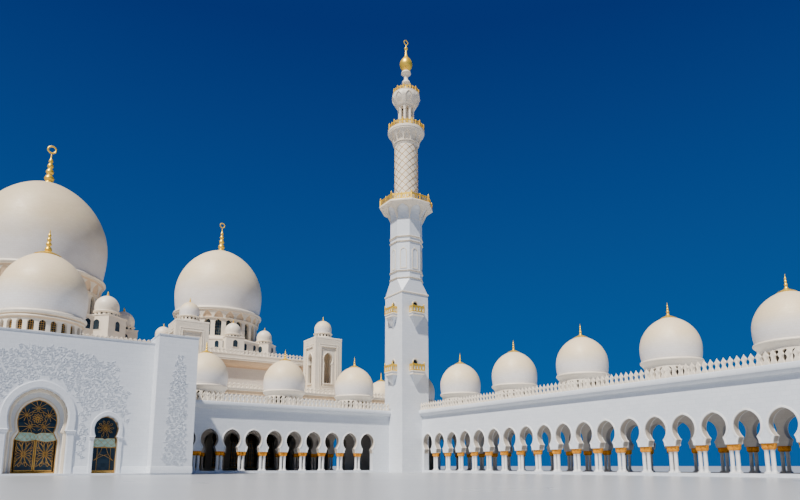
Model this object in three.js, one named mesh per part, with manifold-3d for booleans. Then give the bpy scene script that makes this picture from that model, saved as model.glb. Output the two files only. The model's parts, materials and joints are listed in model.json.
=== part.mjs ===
// A 1:10 scale model of a domed courtyard mosque: the prayer hall with its domes, two wings
// of keyhole arcades that meet at a corner, and the minaret that stands on that corner.
// All driving dimensions are metres of the real building. The group's scale turns them
// into model millimetres. +X runs along the north arcade, away from the minaret. +Y runs
// along the west arcade towards the north. +Z is up.

import * as THREE from 'three';
import { mergeVertices } from 'three/addons/utils/BufferGeometryUtils.js';
import Module from 'manifold-3d';

const wasm = await Module();
wasm.setup();

// Scale and joints between pieces
const MODEL_MM_PER_METRE = 100;
const GAP = 0.003; // 0.3 mm on the model, between pieces that rest on each other
const EMBED = 0.02; // how far a fused solid reaches into its carrier

// Arcades: a bay is one keyhole arch, and the walls stand on paired columns
const BAY = 4.243;
const WALL = 1.2;
const GALLERY_DEPTH = 14.0;
const FLOOR_TOP = 0.25;
const PLINTH_TOP = 0.45;
const CAPITAL_FOOT = 3.3;
const CAPITAL_TOP = 4.08;
const COLUMN_RADIUS = 0.21;
const COLUMN_SPREAD = 0.72; // between the two columns of a pair
const CAPITAL_TOP_HALF = 0.37; // half the side of the square capital of each column
const CAPITAL_FOOT_HALF = 0.2;
const WALL_TOP = 12.4;
const CORNICE_FOOT = 11.8;
const ROOF_TOP = 13.4;
const CORNICE_REACH = 0.75;
const ARCH = {
  foot: 1.35, footZ: CAPITAL_TOP, pinch: 1.0, cuspZ: 4.99, round: 1.53, roundZ: 6.15, apexZ: 8.05,
};

// Minaret: a square shaft on the corner, then an octagon, a round shaft, a lantern and a finial
const SHAFT_SIDE = 7.08;
const SHAFT_PROUD = 5.31; // how far it stands in front of both arcades
const SHAFT_WALL = 0.8;
const SHAFT_TOP = 40.0;
const BROACH_TOP = 43.3;
const OCTAGON_APOTHEM = 3.5;
const OCTAGON_BORE = 2.2;
const OCTAGON_TOP = 57.7;
const LOWER_SLAB_APOTHEM = 6.2;
const LOWER_SLAB_FOOT = 62.8;
const LOWER_SLAB_TOP = 64.0;
const ROUND_RADIUS = 2.8;
const ROUND_BORE = 1.5;
const ROUND_TOP = 78.4;
const UPPER_SLAB_RADIUS = 4.4;
const UPPER_SLAB_FOOT = 82.0;
const UPPER_SLAB_TOP = 83.3;
const LANTERN_RADIUS = 2.03;
const LANTERN_TOP = 89.1;
const CROWN_RADIUS = 3.2;
const CROWN_FOOT = 90.8;
const CROWN_TOP = 92.8;
const BALUSTER_TOP = 97.4;
const TIP = 106.0;
const BALCONY_RAILS = [36.6, 23.4]; // tops of the rails of the bracketed balconies
const BALCONY_HALF = 1.5;
const BALCONY_REACH = 1.2;
const RAIL_HEIGHT = 1.4;
const BALCONY_DOOR = {
  foot: 0.55, footZ: 1.1, pinch: 0.45, cuspZ: 1.35, round: 0.66, roundZ: 1.9, apexZ: 2.75,
};

// Portal block and prayer hall
const FACADE_X = 10.67;
const FACADE_TOP = 21.3;
const PORTAL_Y = -73.0;
const PYLON_PROUD = 3.1;
const PYLON_WIDTH = 6.2;
const PYLON_TOP = 22.4;
const BLOCK_HALF = 21.7;
const PORTAL_RECESS = {
  foot: 3.85, footZ: 6.3, pinch: 3.55, cuspZ: 6.6, round: 3.85, roundZ: 8.6, apexZ: 12.8,
};
const PORTAL_SCREEN = {
  foot: 2.85, footZ: 5.2, pinch: 2.3, cuspZ: 6.4, round: 2.62, roundZ: 8.2, apexZ: 11.3,
};
const RECESS_DEPTH = 2.5;
const SIDE_ARCH_OFFSET = 9.3;
const SIDE_RECESS = { foot: 1.75, footZ: 5.6, pinch: 1.5, cuspZ: 5.9, round: 1.78, roundZ: 7.1, apexZ: 9.1 };
const SIDE_RECESS_DEPTH = 1.6;
const LEAF_TOP = 5.1;
const DOORWAY_HALF = PORTAL_SCREEN.foot - 0.18;
const DOORWAY_FOOT = FLOOR_TOP + 0.2;
const DOORWAY_TOP = LEAF_TOP + 0.1;
const LEAF_THICKNESS = 0.16;
const LEAF_CLEAR = 0.06; // 6 mm on the model
const STILE_RADIUS = 0.12;
const PIVOT_RADIUS = 0.05;
const LEAF_HINGE = DOORWAY_HALF - LEAF_CLEAR - STILE_RADIUS; // from the middle of the doorway
const HALL_EAST = -30.0;
const HALL_WEST = -99.0;
const HALL_NORTH = -4.6;
const HALL_SOUTH = -98.5;
const HALL_WALL_TOP = 26.4;
const HALL_ROOF_TOP = 28.2;
const TERRACE_TOP = 17.0;
const TERRACE_WALL_TOP = 16.0;
const TERRACE_PARAPET = 17.9;

// Domes: centre, radius and the heights of base, drum, rim and top. A dome is widest at the
// belly, given as a share of its height, and is drawn in below it
const SMALL = { radius: 4.42, belly: 0.28, foot: ROOF_TOP, rim: 16.9, top: 23.9, tip: 26.1 };
const MAIN = {
  x: -73.2, y: -72.5, radius: 16.3, belly: 0.39, base: 22.6, baseTop: 38.0, turret: 3.0, turretTop: 45.7,
  rim: 52.0, top: 79.6, tip: 91.0, windows: 24, windowFoot: 40.5, windowTop: 47.4,
};
const FLANK = {
  x: -73.2, y: -23.3, radius: 13.2, belly: 0.39, base: 16.6, baseTop: 36.4, turret: 2.3, turretTop: 42.6,
  rim: 48.0, top: 69.6, tip: 79.0, windows: 24, windowFoot: 39.4, windowTop: 44.6,
};
const FRONT = {
  x: -16.0, y: PORTAL_Y, radius: 7.64, belly: 0.4, rim: 29.0, top: 41.8, tip: 46.6, foot: 24.4,
  windows: 24, windowFoot: 25.2, windowTop: 27.2,
};
const TURRET_BELLY = 0.35;
const TOWER = {
  x: -17.0, side: 7.05, foot: TERRACE_TOP, top: 32.4, dome: 2.15, domeTop: 37.3, north: [-15.6, -48.3],
};
const TOWER_WINDOW = {
  foot: 1.1, footZ: 25.6, pinch: 0.95, cuspZ: 25.9, round: 1.22, roundZ: 27.0, apexZ: 28.7,
};
const TOWER_WINDOW_FOOT = 21.1;
const HALL_WINDOW = { foot: 1.35, footZ: 6.4, pinch: 1.1, cuspZ: 6.9, round: 1.5, roundZ: 8.1, apexZ: 10.2 };
const HALL_WINDOW_FOOT = 0.9;
const HALL_WINDOW_STEPS = [0, 1, 2];

// Where the roof domes stand
const NORTH_DOMES = [-6.5, 10.5, 27.5, 44.4, 61.4, 78.4];
const NORTH_DOME_Y = 6.7;
const FAR_DOME_X = -23.2;
const WEST_DOMES = [-10.6, -27.6, -44.4];
const WEST_DOME_X = -6.6;

// Limits of the two wings
const NORTH_FIRST_ARCH = 7.25;
const NORTH_END = 86.9;
const END_WALL = 1.0;
const NORTH_WEST_END = -32.0;
const WEST_FIRST_ARCH = -49.0;
const WEST_BLOCK_END = -51.3;
const CORNER = SHAFT_PROUD - SHAFT_SIDE;

const STONE = new THREE.MeshStandardMaterial({ color: 0xe6e8ea, roughness: 0.55 });
const CREAM = new THREE.MeshStandardMaterial({ color: 0xe2d9c6, roughness: 0.5 });
const GOLD = new THREE.MeshStandardMaterial({ color: 0xc8962a, roughness: 0.3, metalness: 1 });
const GLASS = new THREE.MeshStandardMaterial({ color: 0x1c2c30, roughness: 0.1 });
const DOOR = new THREE.MeshStandardMaterial({ color: 0x5d4a24, roughness: 0.3, metalness: 0.6 });

// Only positions, with shared vertices merged, collapsed triangles dropped and faces outwards
function closed(geometry) {
  const bare = geometry.clone();
  bare.deleteAttribute('normal');
  bare.deleteAttribute('uv');
  const merged = mergeVertices(bare, 1e-5);
  const at = merged.attributes.position;
  const kept = [];
  let volume = 0;
  const [a, b, c] = [new THREE.Vector3(), new THREE.Vector3(), new THREE.Vector3()];
  for (let i = 0; i < merged.index.count; i += 3) {
    const ids = [0, 1, 2].map((k) => merged.index.getX(i + k));
    if (new Set(ids).size < 3) continue;
    a.fromBufferAttribute(at, ids[0]);
    b.fromBufferAttribute(at, ids[1]);
    c.fromBufferAttribute(at, ids[2]);
    volume += a.dot(b.cross(c));
    kept.push(...ids);
  }
  merged.setIndex(volume < 0 ? kept.reverse() : kept);
  return merged;
}

function solid(geometry) {
  const shape = closed(geometry);
  return new wasm.Manifold(new wasm.Mesh({
    numProp: 3,
    vertProperties: new Float32Array(shape.attributes.position.array),
    triVerts: new Uint32Array(shape.index.array),
  }));
}

function geometryOf(manifold) {
  const mesh = manifold.getMesh();
  const geometry = new THREE.BufferGeometry();
  geometry.setAttribute('position', new THREE.BufferAttribute(new Float32Array(mesh.vertProperties), 3));
  geometry.setIndex(Array.from(mesh.triVerts));
  return geometry;
}

function fuse(...geometries) {
  return geometryOf(geometries.map(solid).reduce((all, next) => all.add(next)));
}

function carve(geometry, ...cutters) {
  return geometryOf(cutters.map(solid).reduce((all, next) => all.subtract(next), solid(geometry)));
}

function box(x0, x1, y0, y1, z0, z1) {
  return new THREE.BoxGeometry(x1 - x0, y1 - y0, z1 - z0)
    .translate((x0 + x1) / 2, (y0 + y1) / 2, (z0 + z1) / 2);
}

// Profile points are [radius, height]. Eight-sided rings have flats along the axes
function turned(profile, sides, x = 0, y = 0) {
  const points = profile.map(([r, z]) => new THREE.Vector2(r, z));
  return new THREE.LatheGeometry(points, sides)
    .rotateX(Math.PI / 2).rotateZ(Math.PI / sides).translate(x, y, 0);
}

const ringProfile = (outer, bore, bottom, top) => [...outer, [bore, top], [bore, bottom], outer[0]];

function shapeOf(points) {
  return new THREE.Shape(points.map(([u, z]) => new THREE.Vector2(u, z)));
}

// An upright slab with the outline given in run and height, from depth v0 to v1
function upright(points, v0, v1) {
  return new THREE.ExtrudeGeometry(shapeOf(points), { depth: v1 - v0, bevelEnabled: false })
    .rotateX(Math.PI / 2).translate(0, v1, 0);
}

// The same slab, turned so that its run is +Y and its depth goes towards -X from x0
const turnedWest = (geometry, x0) => geometry.rotateZ(Math.PI / 2).translate(x0, 0, 0);

// Opening of a keyhole arch from its left foot over the apex to its right foot: the feet lean
// in to a cusp, an elliptic arc swells to the widest point, and two long arcs meet in a point
function keyhole(arch, centre, [flareSteps, swellSteps, crownSteps]) {
  const right = [];
  for (let i = 0; i < flareSteps; i++) {
    const t = i / flareSteps;
    right.push([arch.foot + (arch.pinch - arch.foot) * t * t, arch.footZ + (arch.cuspZ - arch.footZ) * t]);
  }
  const start = Math.acos(arch.pinch / arch.round);
  const swellHeight = (arch.roundZ - arch.cuspZ) / Math.max(Math.sin(start), 1e-6);
  for (let i = 0; i < swellSteps; i++) {
    const angle = -start * (1 - i / swellSteps);
    right.push([arch.round * Math.cos(angle), arch.roundZ + swellHeight * Math.sin(angle)]);
  }
  const rise = arch.apexZ - arch.roundZ;
  const radius = (arch.round ** 2 + rise ** 2) / (2 * arch.round);
  const sweep = Math.asin(Math.min(1, rise / radius));
  for (let i = 0; i < crownSteps; i++) {
    const angle = (sweep * i) / crownSteps;
    right.push([arch.round - radius + radius * Math.cos(angle), arch.roundZ + radius * Math.sin(angle)]);
  }
  const left = right.map(([u, z]) => [centre - u, z]);
  return [...left, [centre, arch.apexZ], ...right.reverse().map(([u, z]) => [centre + u, z])];
}

// The whole opening as a closed outline that goes down to floorZ
function keyholeDoor(arch, centre, steps, floorZ) {
  return [[centre - arch.foot, floorZ], ...keyhole(arch, centre, steps), [centre + arch.foot, floorZ]];
}

// Column with its flared square capital
function column(u, v, sides) {
  const foot = PLINTH_TOP - EMBED;
  const head = CAPITAL_FOOT + EMBED;
  const shaft = turned([[0, foot], [COLUMN_RADIUS, foot], [COLUMN_RADIUS, head], [0, head]], sides, u, v);
  const top = CAPITAL_TOP + EMBED;
  const capital = turned([[0, CAPITAL_FOOT], [CAPITAL_FOOT_HALF * Math.SQRT2, CAPITAL_FOOT],
    [CAPITAL_TOP_HALF * Math.SQRT2, top], [0, top]], 4, u, v);
  return [shaft, capital];
}

// Paired columns. Where a stretch of arcade is cut at a pier, side is -1 or 1 for the column
// that it keeps, moved off the cut a little, and 0 keeps both
function pier(u, v, sides, side) {
  const reach = side === 0 ? COLUMN_SPREAD / 2 : CAPITAL_TOP_HALF + GAP;
  const ends = side === 0 ? [-1, 1] : [side];
  return ends.flatMap((end) => column(u + end * reach, v, sides));
}

// A stretch of arcade: keyhole wall, paired columns and the low plinth that joins them.
// Ends given as 'pier' run down to the floor, and the others are cut between two columns
function arcade(u0, u1, firstArch, arches, v0, detail, ends) {
  const footOf = (end) => (end === 'pier' ? PLINTH_TOP - EMBED : CAPITAL_TOP);
  const centres = Array.from({ length: arches }, (_, i) => firstArch + i * BAY);
  const outline = [[u0, footOf(ends[0])]];
  if (ends[0] === 'pier') outline.push([centres[0] - ARCH.foot, footOf('pier')]);
  centres.forEach((centre) => outline.push(...keyhole(ARCH, centre, detail.arch)));
  if (ends[1] === 'pier') outline.push([centres.at(-1) + ARCH.foot, footOf('pier')]);
  outline.push([u1, footOf(ends[1])], [u1, WALL_TOP - GAP], [u0, WALL_TOP - GAP]);
  const pieces = [upright(outline, v0, v0 + WALL),
    box(u0, u1, v0 - detail.plinthReach, v0 + WALL + detail.plinthReach, FLOOR_TOP + GAP, PLINTH_TOP)];
  const middle = v0 + WALL / 2;
  centres.slice(1).forEach((centre) => pieces.push(...pier(centre - BAY / 2, middle, detail.sides, 0)));
  if (ends[0] !== 'pier') pieces.push(...pier(u0, middle, detail.sides, 1));
  if (ends[1] !== 'pier') pieces.push(...pier(u1 + GAP, middle, detail.sides, -1));
  return fuse(...pieces);
}

// Dome outline from its foot on the rim to just below the top, as [radius, height] pairs: drawn in
// below the belly, and above it two nearly round arcs that meet in a slight point
function domeOutline(radius, rim, top, belly, steps) {
  const bellyZ = rim + (top - rim) * belly;
  const points = [[radius * 0.95, rim], [radius * 0.985, rim + (bellyZ - rim) * 0.5]];
  const peak = 0.04 * radius;
  const sweep = Math.acos(peak / (radius + peak));
  for (let i = 0; i < steps; i++) {
    const angle = (sweep * i) / steps;
    const height = ((top - bellyZ) * Math.sin(angle)) / Math.sin(sweep);
    points.push([(radius + peak) * Math.cos(angle) - peak, bellyZ + height]);
  }
  return points;
}

// Solid of a roof dome with its drum, rim and finial
function smallDome(x, y) {
  const { radius, belly, foot, rim, top, tip } = SMALL;
  const profile = [[0, foot - EMBED], [radius * 0.87, foot - EMBED], [radius * 0.87, foot + 2.3],
    [radius * 1.02, rim - 0.6], [radius * 1.02, rim],
    ...domeOutline(radius, rim, top, belly, 4).slice(1), [0.3, top - 0.1], [0, tip]];
  return turned(profile, 10, x, y);
}

// Drum wall with a ring of arched windows cut through it, and its flared rim on top
function windowedDrum(dome, foot, wallRadius, thickness) {
  const bore = wallRadius - thickness;
  const flare = dome.radius * 0.99;
  const outer = [[wallRadius, foot], [wallRadius, dome.windowTop + 0.5], [flare, dome.rim - 1.0],
    [flare, dome.rim - GAP]];
  const ring = turned(ringProfile(outer, bore, foot, dome.rim - GAP), dome.windows);
  const pitch = (2 * Math.PI * wallRadius) / dome.windows;
  const half = pitch * 0.3;
  const spring = dome.windowTop - half * 1.2;
  const outline = [[-half, dome.windowFoot], [half, dome.windowFoot], [half, spring], [0, dome.windowTop],
    [-half, spring]];
  const cutters = Array.from({ length: dome.windows }, (_, i) =>
    upright(outline, bore - 0.6, wallRadius + 0.6).rotateZ((i * 2 * Math.PI) / dome.windows));
  return carve(ring, ...cutters).translate(dome.x, dome.y, 0);
}

// Shell of a large dome: the bore follows the outside at the wall's thickness
function domeShell(dome, thickness, steps, sides) {
  const outside = [...domeOutline(dome.radius, dome.rim, dome.top, dome.belly, steps), [0, dome.top]];
  const bore = domeOutline(dome.radius - thickness, dome.rim, dome.top - thickness, dome.belly, 3);
  const inside = [bore[0], ...bore.slice(2), [0, dome.top - thickness]];
  return turned([...outside, ...inside.reverse(), outside[0]], sides, dome.x, dome.y);
}

// Finial: stacked bulbs that thin upwards, with a ring on edge at the tip
function finial(dome, scale) {
  const height = dome.tip - dome.top;
  const bulbs = [[0, 0], [1.5, 0], [0.6, 0.12], [0.95, 0.2], [0.4, 0.3], [0.62, 0.38], [0.25, 0.48],
    [0.14, 0.82], [0, 0.82]];
  const stem = turned(bulbs.map(([r, t]) => [r * scale, dome.top + GAP + height * t]), 8);
  const ringRadius = height * 0.075;
  const ring = new THREE.TorusGeometry(ringRadius, height * 0.018, 4, 8).rotateX(Math.PI / 2)
    .translate(0, 0, dome.tip - ringRadius - height * 0.018);
  return fuse(stem, ring).translate(dome.x, dome.y, 0);
}

// Eight-sided base of a large dome with a small domed turret on each corner
function turretedBase(dome, boreTop, foot) {
  const wall = 1.4;
  const ledge = dome.baseTop - 0.9;
  const profile = [[dome.base, foot], [dome.base, dome.baseTop], [boreTop, dome.baseTop], [boreTop, ledge],
    [dome.base - wall, ledge], [dome.base - wall, foot], [dome.base, foot]];
  const radius = dome.turret;
  const rim = dome.turretTop - radius * 1.62;
  const turret = [[0, foot], [radius * 1.06, foot], [radius * 1.06, rim],
    ...domeOutline(radius, rim, dome.turretTop, TURRET_BELLY, 2).slice(1),
    [0, dome.turretTop + radius * 0.35]];
  const ring = dome.base - 0.6;
  const turrets = Array.from({ length: 8 }, (_, i) => {
    const angle = ((i + 0.5) * Math.PI) / 4;
    return turned(turret, 8, ring * Math.cos(angle), ring * Math.sin(angle));
  });
  return fuse(turned(profile, 8), ...turrets).rotateZ(Math.PI / 8).translate(dome.x, dome.y, 0);
}

// Section of a gallery roof across its depth: slab, fascia and hollow moulding on open sides
function roofSection(v0, v1, frontCornice, backCornice) {
  const moulding = (edge, side) => [[edge + side * GAP, WALL_TOP], [edge + side * GAP, CORNICE_FOOT],
    [edge + side * CORNICE_REACH * 0.45, CORNICE_FOOT + 0.2], [edge + side * CORNICE_REACH * 0.8, WALL_TOP],
    [edge + side * CORNICE_REACH, WALL_TOP + 0.05], [edge + side * CORNICE_REACH, ROOF_TOP]];
  const front = frontCornice ? moulding(v0, -1) : [[v0, WALL_TOP], [v0, ROOF_TOP]];
  const back = backCornice ? moulding(v1, 1) : [[v1, WALL_TOP], [v1, ROOF_TOP]];
  return [...front, ...back.reverse()];
}

// Prism of a section given in depth and height, along the run from u0 to u1
function along(section, u0, u1) {
  return new THREE.ExtrudeGeometry(shapeOf(section), { depth: u1 - u0, bevelEnabled: false })
    .rotateX(Math.PI / 2).rotateZ(Math.PI / 2).translate(u0, 0, 0);
}

function minaretShaft() {
  const half = SHAFT_SIDE / 2;
  const inner = half - SHAFT_WALL;
  const broachApothem = half * Math.SQRT2;
  const toRadius = 1 / Math.cos(Math.PI / 8);
  const cone = turned([[0, SHAFT_TOP - EMBED], [broachApothem * toRadius, SHAFT_TOP - EMBED],
    [OCTAGON_APOTHEM * toRadius, BROACH_TOP - GAP], [0, BROACH_TOP - GAP]], 8);
  const block = box(-half, half, -half, half, SHAFT_TOP - EMBED, BROACH_TOP);
  const broach = geometryOf(solid(cone).intersect(solid(block)));
  const reach = half + BALCONY_REACH;
  const balcony = (rail) => {
    const slabTop = rail - RAIL_HEIGHT;
    const slab = box(-BALCONY_HALF, BALCONY_HALF, -reach, -half + EMBED, slabTop - 0.8, slabTop);
    const parapet = carve(box(-BALCONY_HALF, BALCONY_HALF, -reach, -half + EMBED, slabTop - EMBED, rail),
      box(0.15 - BALCONY_HALF, BALCONY_HALF - 0.15, 0.15 - reach, 0.5 - half, slabTop - 0.1, rail + 0.1));
    const bracket = new THREE.CylinderGeometry(BALCONY_HALF, 0.05, 2.5, 4, 1).rotateY(Math.PI / 4)
      .rotateX(Math.PI / 2).scale(Math.SQRT2, Math.SQRT2 * 0.8, 1).translate(0, EMBED - half, slabTop - 2.0);
    const shelf = carve(bracket, box(-3, 3, EMBED - half, 3, 0, SHAFT_TOP));
    return fuse(slab, parapet, shelf);
  };
  const pieces = [box(-half, half, -half, half, 0, SHAFT_TOP), broach];
  const doors = [];
  for (let side = 0; side < 4; side++) {
    for (const rail of BALCONY_RAILS) {
      pieces.push(balcony(rail).rotateZ((side * Math.PI) / 2));
      const sill = rail - RAIL_HEIGHT + 0.05;
      const outline = keyholeDoor(BALCONY_DOOR, 0, [0, 1, 2], 0).map(([u, z]) => [u, z + sill]);
      doors.push(upright(outline, -half - 0.3, -half + SHAFT_WALL + 0.3).rotateZ((side * Math.PI) / 2));
    }
  }
  const bore = box(-inner, inner, -inner, inner, -1, SHAFT_TOP + 1);
  const throat = turned([[0, SHAFT_TOP], [OCTAGON_BORE, SHAFT_TOP], [OCTAGON_BORE, BROACH_TOP + 1],
    [0, BROACH_TOP + 1]], 8);
  return carve(fuse(...pieces), bore, throat, ...doors);
}

function minaretOctagon() {
  const k = 1 / Math.cos(Math.PI / 8);
  const apothem = OCTAGON_APOTHEM;
  const outer = [[apothem, BROACH_TOP], [apothem, 43.5], [3.75, 43.7], [3.75, 44.2], [apothem, 44.4],
    [apothem, 53.6], [3.8, 53.9], [3.8, 54.6], [apothem, 54.9], [apothem, OCTAGON_TOP],
    [3.75, OCTAGON_TOP + 0.8], [4.6, 60.6], [5.7, LOWER_SLAB_FOOT], [LOWER_SLAB_APOTHEM, LOWER_SLAB_FOOT],
    [LOWER_SLAB_APOTHEM, LOWER_SLAB_TOP]].map(([r, z]) => [r * k, z]);
  const ring = turned(ringProfile(outer, OCTAGON_BORE, BROACH_TOP, LOWER_SLAB_TOP), 8);
  const panel = [[-0.8, 46.4], [0.8, 46.4], [0.8, 50.9], [0.55, 51.6], [0, 52.1], [-0.55, 51.6],
    [-0.8, 50.9]];
  const panels = Array.from({ length: 8 }, (_, i) => upright(panel, 3.3, 4.2).rotateZ((i * Math.PI) / 4));
  return carve(ring, ...panels);
}

function minaretRoundShaft() {
  const foot = LOWER_SLAB_TOP + GAP;
  const outer = [[3.1, foot], [3.1, foot + 0.6], [ROUND_RADIUS, foot + 0.9], [ROUND_RADIUS, ROUND_TOP],
    [3.1, ROUND_TOP + 0.7], [3.7, 80.6], [4.15, UPPER_SLAB_FOOT], [UPPER_SLAB_RADIUS, UPPER_SLAB_FOOT],
    [UPPER_SLAB_RADIUS, UPPER_SLAB_TOP]];
  return turned(ringProfile(outer, ROUND_BORE, foot, UPPER_SLAB_TOP), 16);
}

// Lantern of eight columns between a sill ring and the flared crown, with the turned baluster
function minaretLantern() {
  const foot = UPPER_SLAB_TOP + GAP;
  const sillTop = foot + 1.1;
  const sillFace = [[LANTERN_RADIUS, foot], [LANTERN_RADIUS, sillTop]];
  const sill = turned(ringProfile(sillFace, 1.3, foot, sillTop), 12);
  const crown = turned([[0, LANTERN_TOP - 0.8], [LANTERN_RADIUS, LANTERN_TOP - 0.8],
    [LANTERN_RADIUS, LANTERN_TOP], [CROWN_RADIUS, CROWN_FOOT], [CROWN_RADIUS, CROWN_TOP], [1.0, CROWN_TOP],
    [0.62, 94.1], [0.9, 95.2], [0.9, 95.6], [0.55, 96.2], [1.15, 96.9], [0.7, BALUSTER_TOP],
    [0, BALUSTER_TOP]], 12);
  const columns = Array.from({ length: 8 }, (_, i) => {
    const angle = (i * Math.PI) / 4;
    return box(-0.26, 0.26, -0.26, 0.26, foot + 1.0, LANTERN_TOP - 0.7).rotateZ(angle)
      .translate(1.68 * Math.cos(angle), 1.68 * Math.sin(angle), 0);
  });
  return fuse(sill, crown, ...columns);
}

function minaretFinial() {
  const foot = BALUSTER_TOP + GAP;
  const stem = turned([[0, foot], [0.6, foot], [1.3, 98.2], [1.57, 99.1], [1.25, 100.2], [0.5, 101.3],
    [0.22, 102.9], [0.44, 103.6], [0.1, 104.8], [0, 104.8]], 10);
  const ringRadius = 0.56;
  const ring = new THREE.TorusGeometry(ringRadius, 0.13, 4, 10).rotateX(Math.PI / 2)
    .translate(0, 0, TIP - ringRadius - 0.13);
  return fuse(stem, ring);
}

// Front wall of the portal block: a deep keyhole recess, a keyhole screen opening behind it,
// and the smaller recesses on both sides
function portalWall() {
  const innerPlane = RECESS_DEPTH + 1.0;
  const y0 = PORTAL_Y - BLOCK_HALF + PYLON_WIDTH + GAP;
  const y1 = PORTAL_Y + BLOCK_HALF - PYLON_WIDTH - GAP;
  const wall = box(FACADE_X - innerPlane, FACADE_X, y0, y1, FLOOR_TOP + GAP, FACADE_TOP);
  const through = (outline, depth0, depth1) => turnedWest(upright(outline, depth0, depth1), FACADE_X);
  const steps = [1, 3, 5];
  const cuts = [through(keyholeDoor(PORTAL_RECESS, PORTAL_Y, steps, 0), -0.5, RECESS_DEPTH),
    through(keyholeDoor(PORTAL_SCREEN, PORTAL_Y, steps, 0), RECESS_DEPTH - 0.1, innerPlane + 0.5)];
  for (const side of [-1, 1]) {
    const outline = keyholeDoor(SIDE_RECESS, PORTAL_Y + side * SIDE_ARCH_OFFSET, [1, 2, 3], 0);
    cuts.push(through(outline, -0.5, innerPlane + 0.5));
  }
  return carve(wall, ...cuts);
}

// Glazed keyhole screen over the doors, with its jambs and mullion-free door opening
function portalScreen() {
  const clear = 0.004;
  const outline = keyholeDoor(PORTAL_SCREEN, PORTAL_Y, [1, 3, 5], FLOOR_TOP + GAP);
  const inset = outline.map(([u, z]) =>
    [PORTAL_Y + (u - PORTAL_Y) * (1 - clear), z > LEAF_TOP ? z - 0.01 : z]);
  const panel = turnedWest(upright(inset, RECESS_DEPTH + 0.25, RECESS_DEPTH + 0.6), FACADE_X);
  const [y0, y1] = [PORTAL_Y - DOORWAY_HALF, PORTAL_Y + DOORWAY_HALF];
  const doorway = box(FACADE_X - 4, FACADE_X, y0, y1, DOORWAY_FOOT, DOORWAY_TOP);
  return carve(panel, doorway);
}

// A door leaf about its own hinge: it reaches towards +Y for direction 1 and -Y for -1, with a
// round hinge stile, and a pivot that stands on the sill and meets the head
function doorLeaf(direction) {
  const foot = DOORWAY_FOOT + LEAF_CLEAR;
  const head = DOORWAY_TOP - LEAF_CLEAR;
  const reach = direction * (LEAF_HINGE - LEAF_CLEAR / 2);
  const half = LEAF_THICKNESS / 2;
  const panel = box(-half, half, Math.min(0, reach), Math.max(0, reach), foot, head);
  const stile = turned([[0, foot], [STILE_RADIUS, foot], [STILE_RADIUS, head], [0, head]], 8);
  const pivot = turned([[0, DOORWAY_FOOT + GAP], [PIVOT_RADIUS, DOORWAY_FOOT + GAP],
    [PIVOT_RADIUS, DOORWAY_TOP - GAP], [0, DOORWAY_TOP - GAP]], 8);
  return fuse(panel, stile, pivot);
}

function sideScreen(side) {
  const centre = PORTAL_Y + side * SIDE_ARCH_OFFSET;
  const outline = keyholeDoor(SIDE_RECESS, centre, [1, 2, 3], FLOOR_TOP + GAP);
  const inset = outline.map(([u, z]) => [centre + (u - centre) * 0.997, z > 1 ? z - 0.005 : z]);
  return turnedWest(upright(inset, SIDE_RECESS_DEPTH, SIDE_RECESS_DEPTH + 0.3), FACADE_X);
}

// Pylon with the side wall of the portal block behind it
function pylon(side) {
  const outerFace = PORTAL_Y + side * BLOCK_HALF;
  const innerFace = outerFace - side * PYLON_WIDTH;
  const [y0, y1] = [Math.min(outerFace, innerFace), Math.max(outerFace, innerFace)];
  const tower = box(FACADE_X - 3.5, FACADE_X + PYLON_PROUD, y0, y1, FLOOR_TOP + GAP, PYLON_TOP);
  const wallInner = outerFace - side * WALL;
  const sideWall = box(HALL_EAST + GAP, FACADE_X - 3.4, Math.min(outerFace, wallInner),
    Math.max(outerFace, wallInner), FLOOR_TOP + GAP, FACADE_TOP - 1.6);
  return fuse(tower, sideWall);
}

// Slab over the portal block with the stepped eight-sided base of its dome and a way up into it
function portalRoof() {
  const foot = FACADE_TOP - 1.6 + GAP;
  const [y0, y1] = [PORTAL_Y - BLOCK_HALF, PORTAL_Y + BLOCK_HALF];
  const slab = box(HALL_EAST + GAP, FACADE_X - 3.5 - GAP, y0, y1, foot, FACADE_TOP - 0.4);
  const k = 1 / Math.cos(Math.PI / 8);
  const step = FRONT.foot - 0.8;
  const base = turned([[0, foot], [9.2 * k, foot], [9.2 * k, step], [8.3 * k, step],
    [8.3 * k, FRONT.foot - GAP], [0, FRONT.foot - GAP]], 8, FRONT.x, FRONT.y);
  const eye = turned([[0, 0], [6.2, 0], [6.2, 40], [0, 40]], 16, FRONT.x, FRONT.y);
  return carve(fuse(slab, base), eye);
}

// A wall of the prayer hall with its keyhole openings, along the run from u0 to u1
function hallWall(u0, u1, v0, v1, openings) {
  const foot = FLOOR_TOP + GAP;
  const wall = upright([[u0, foot], [u1, foot], [u1, HALL_WALL_TOP], [u0, HALL_WALL_TOP]], v0, v1);
  if (openings.length === 0) return wall;
  return carve(wall, ...openings.map((outline) => upright(outline, v0 - 0.5, v1 + 0.5)));
}

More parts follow.
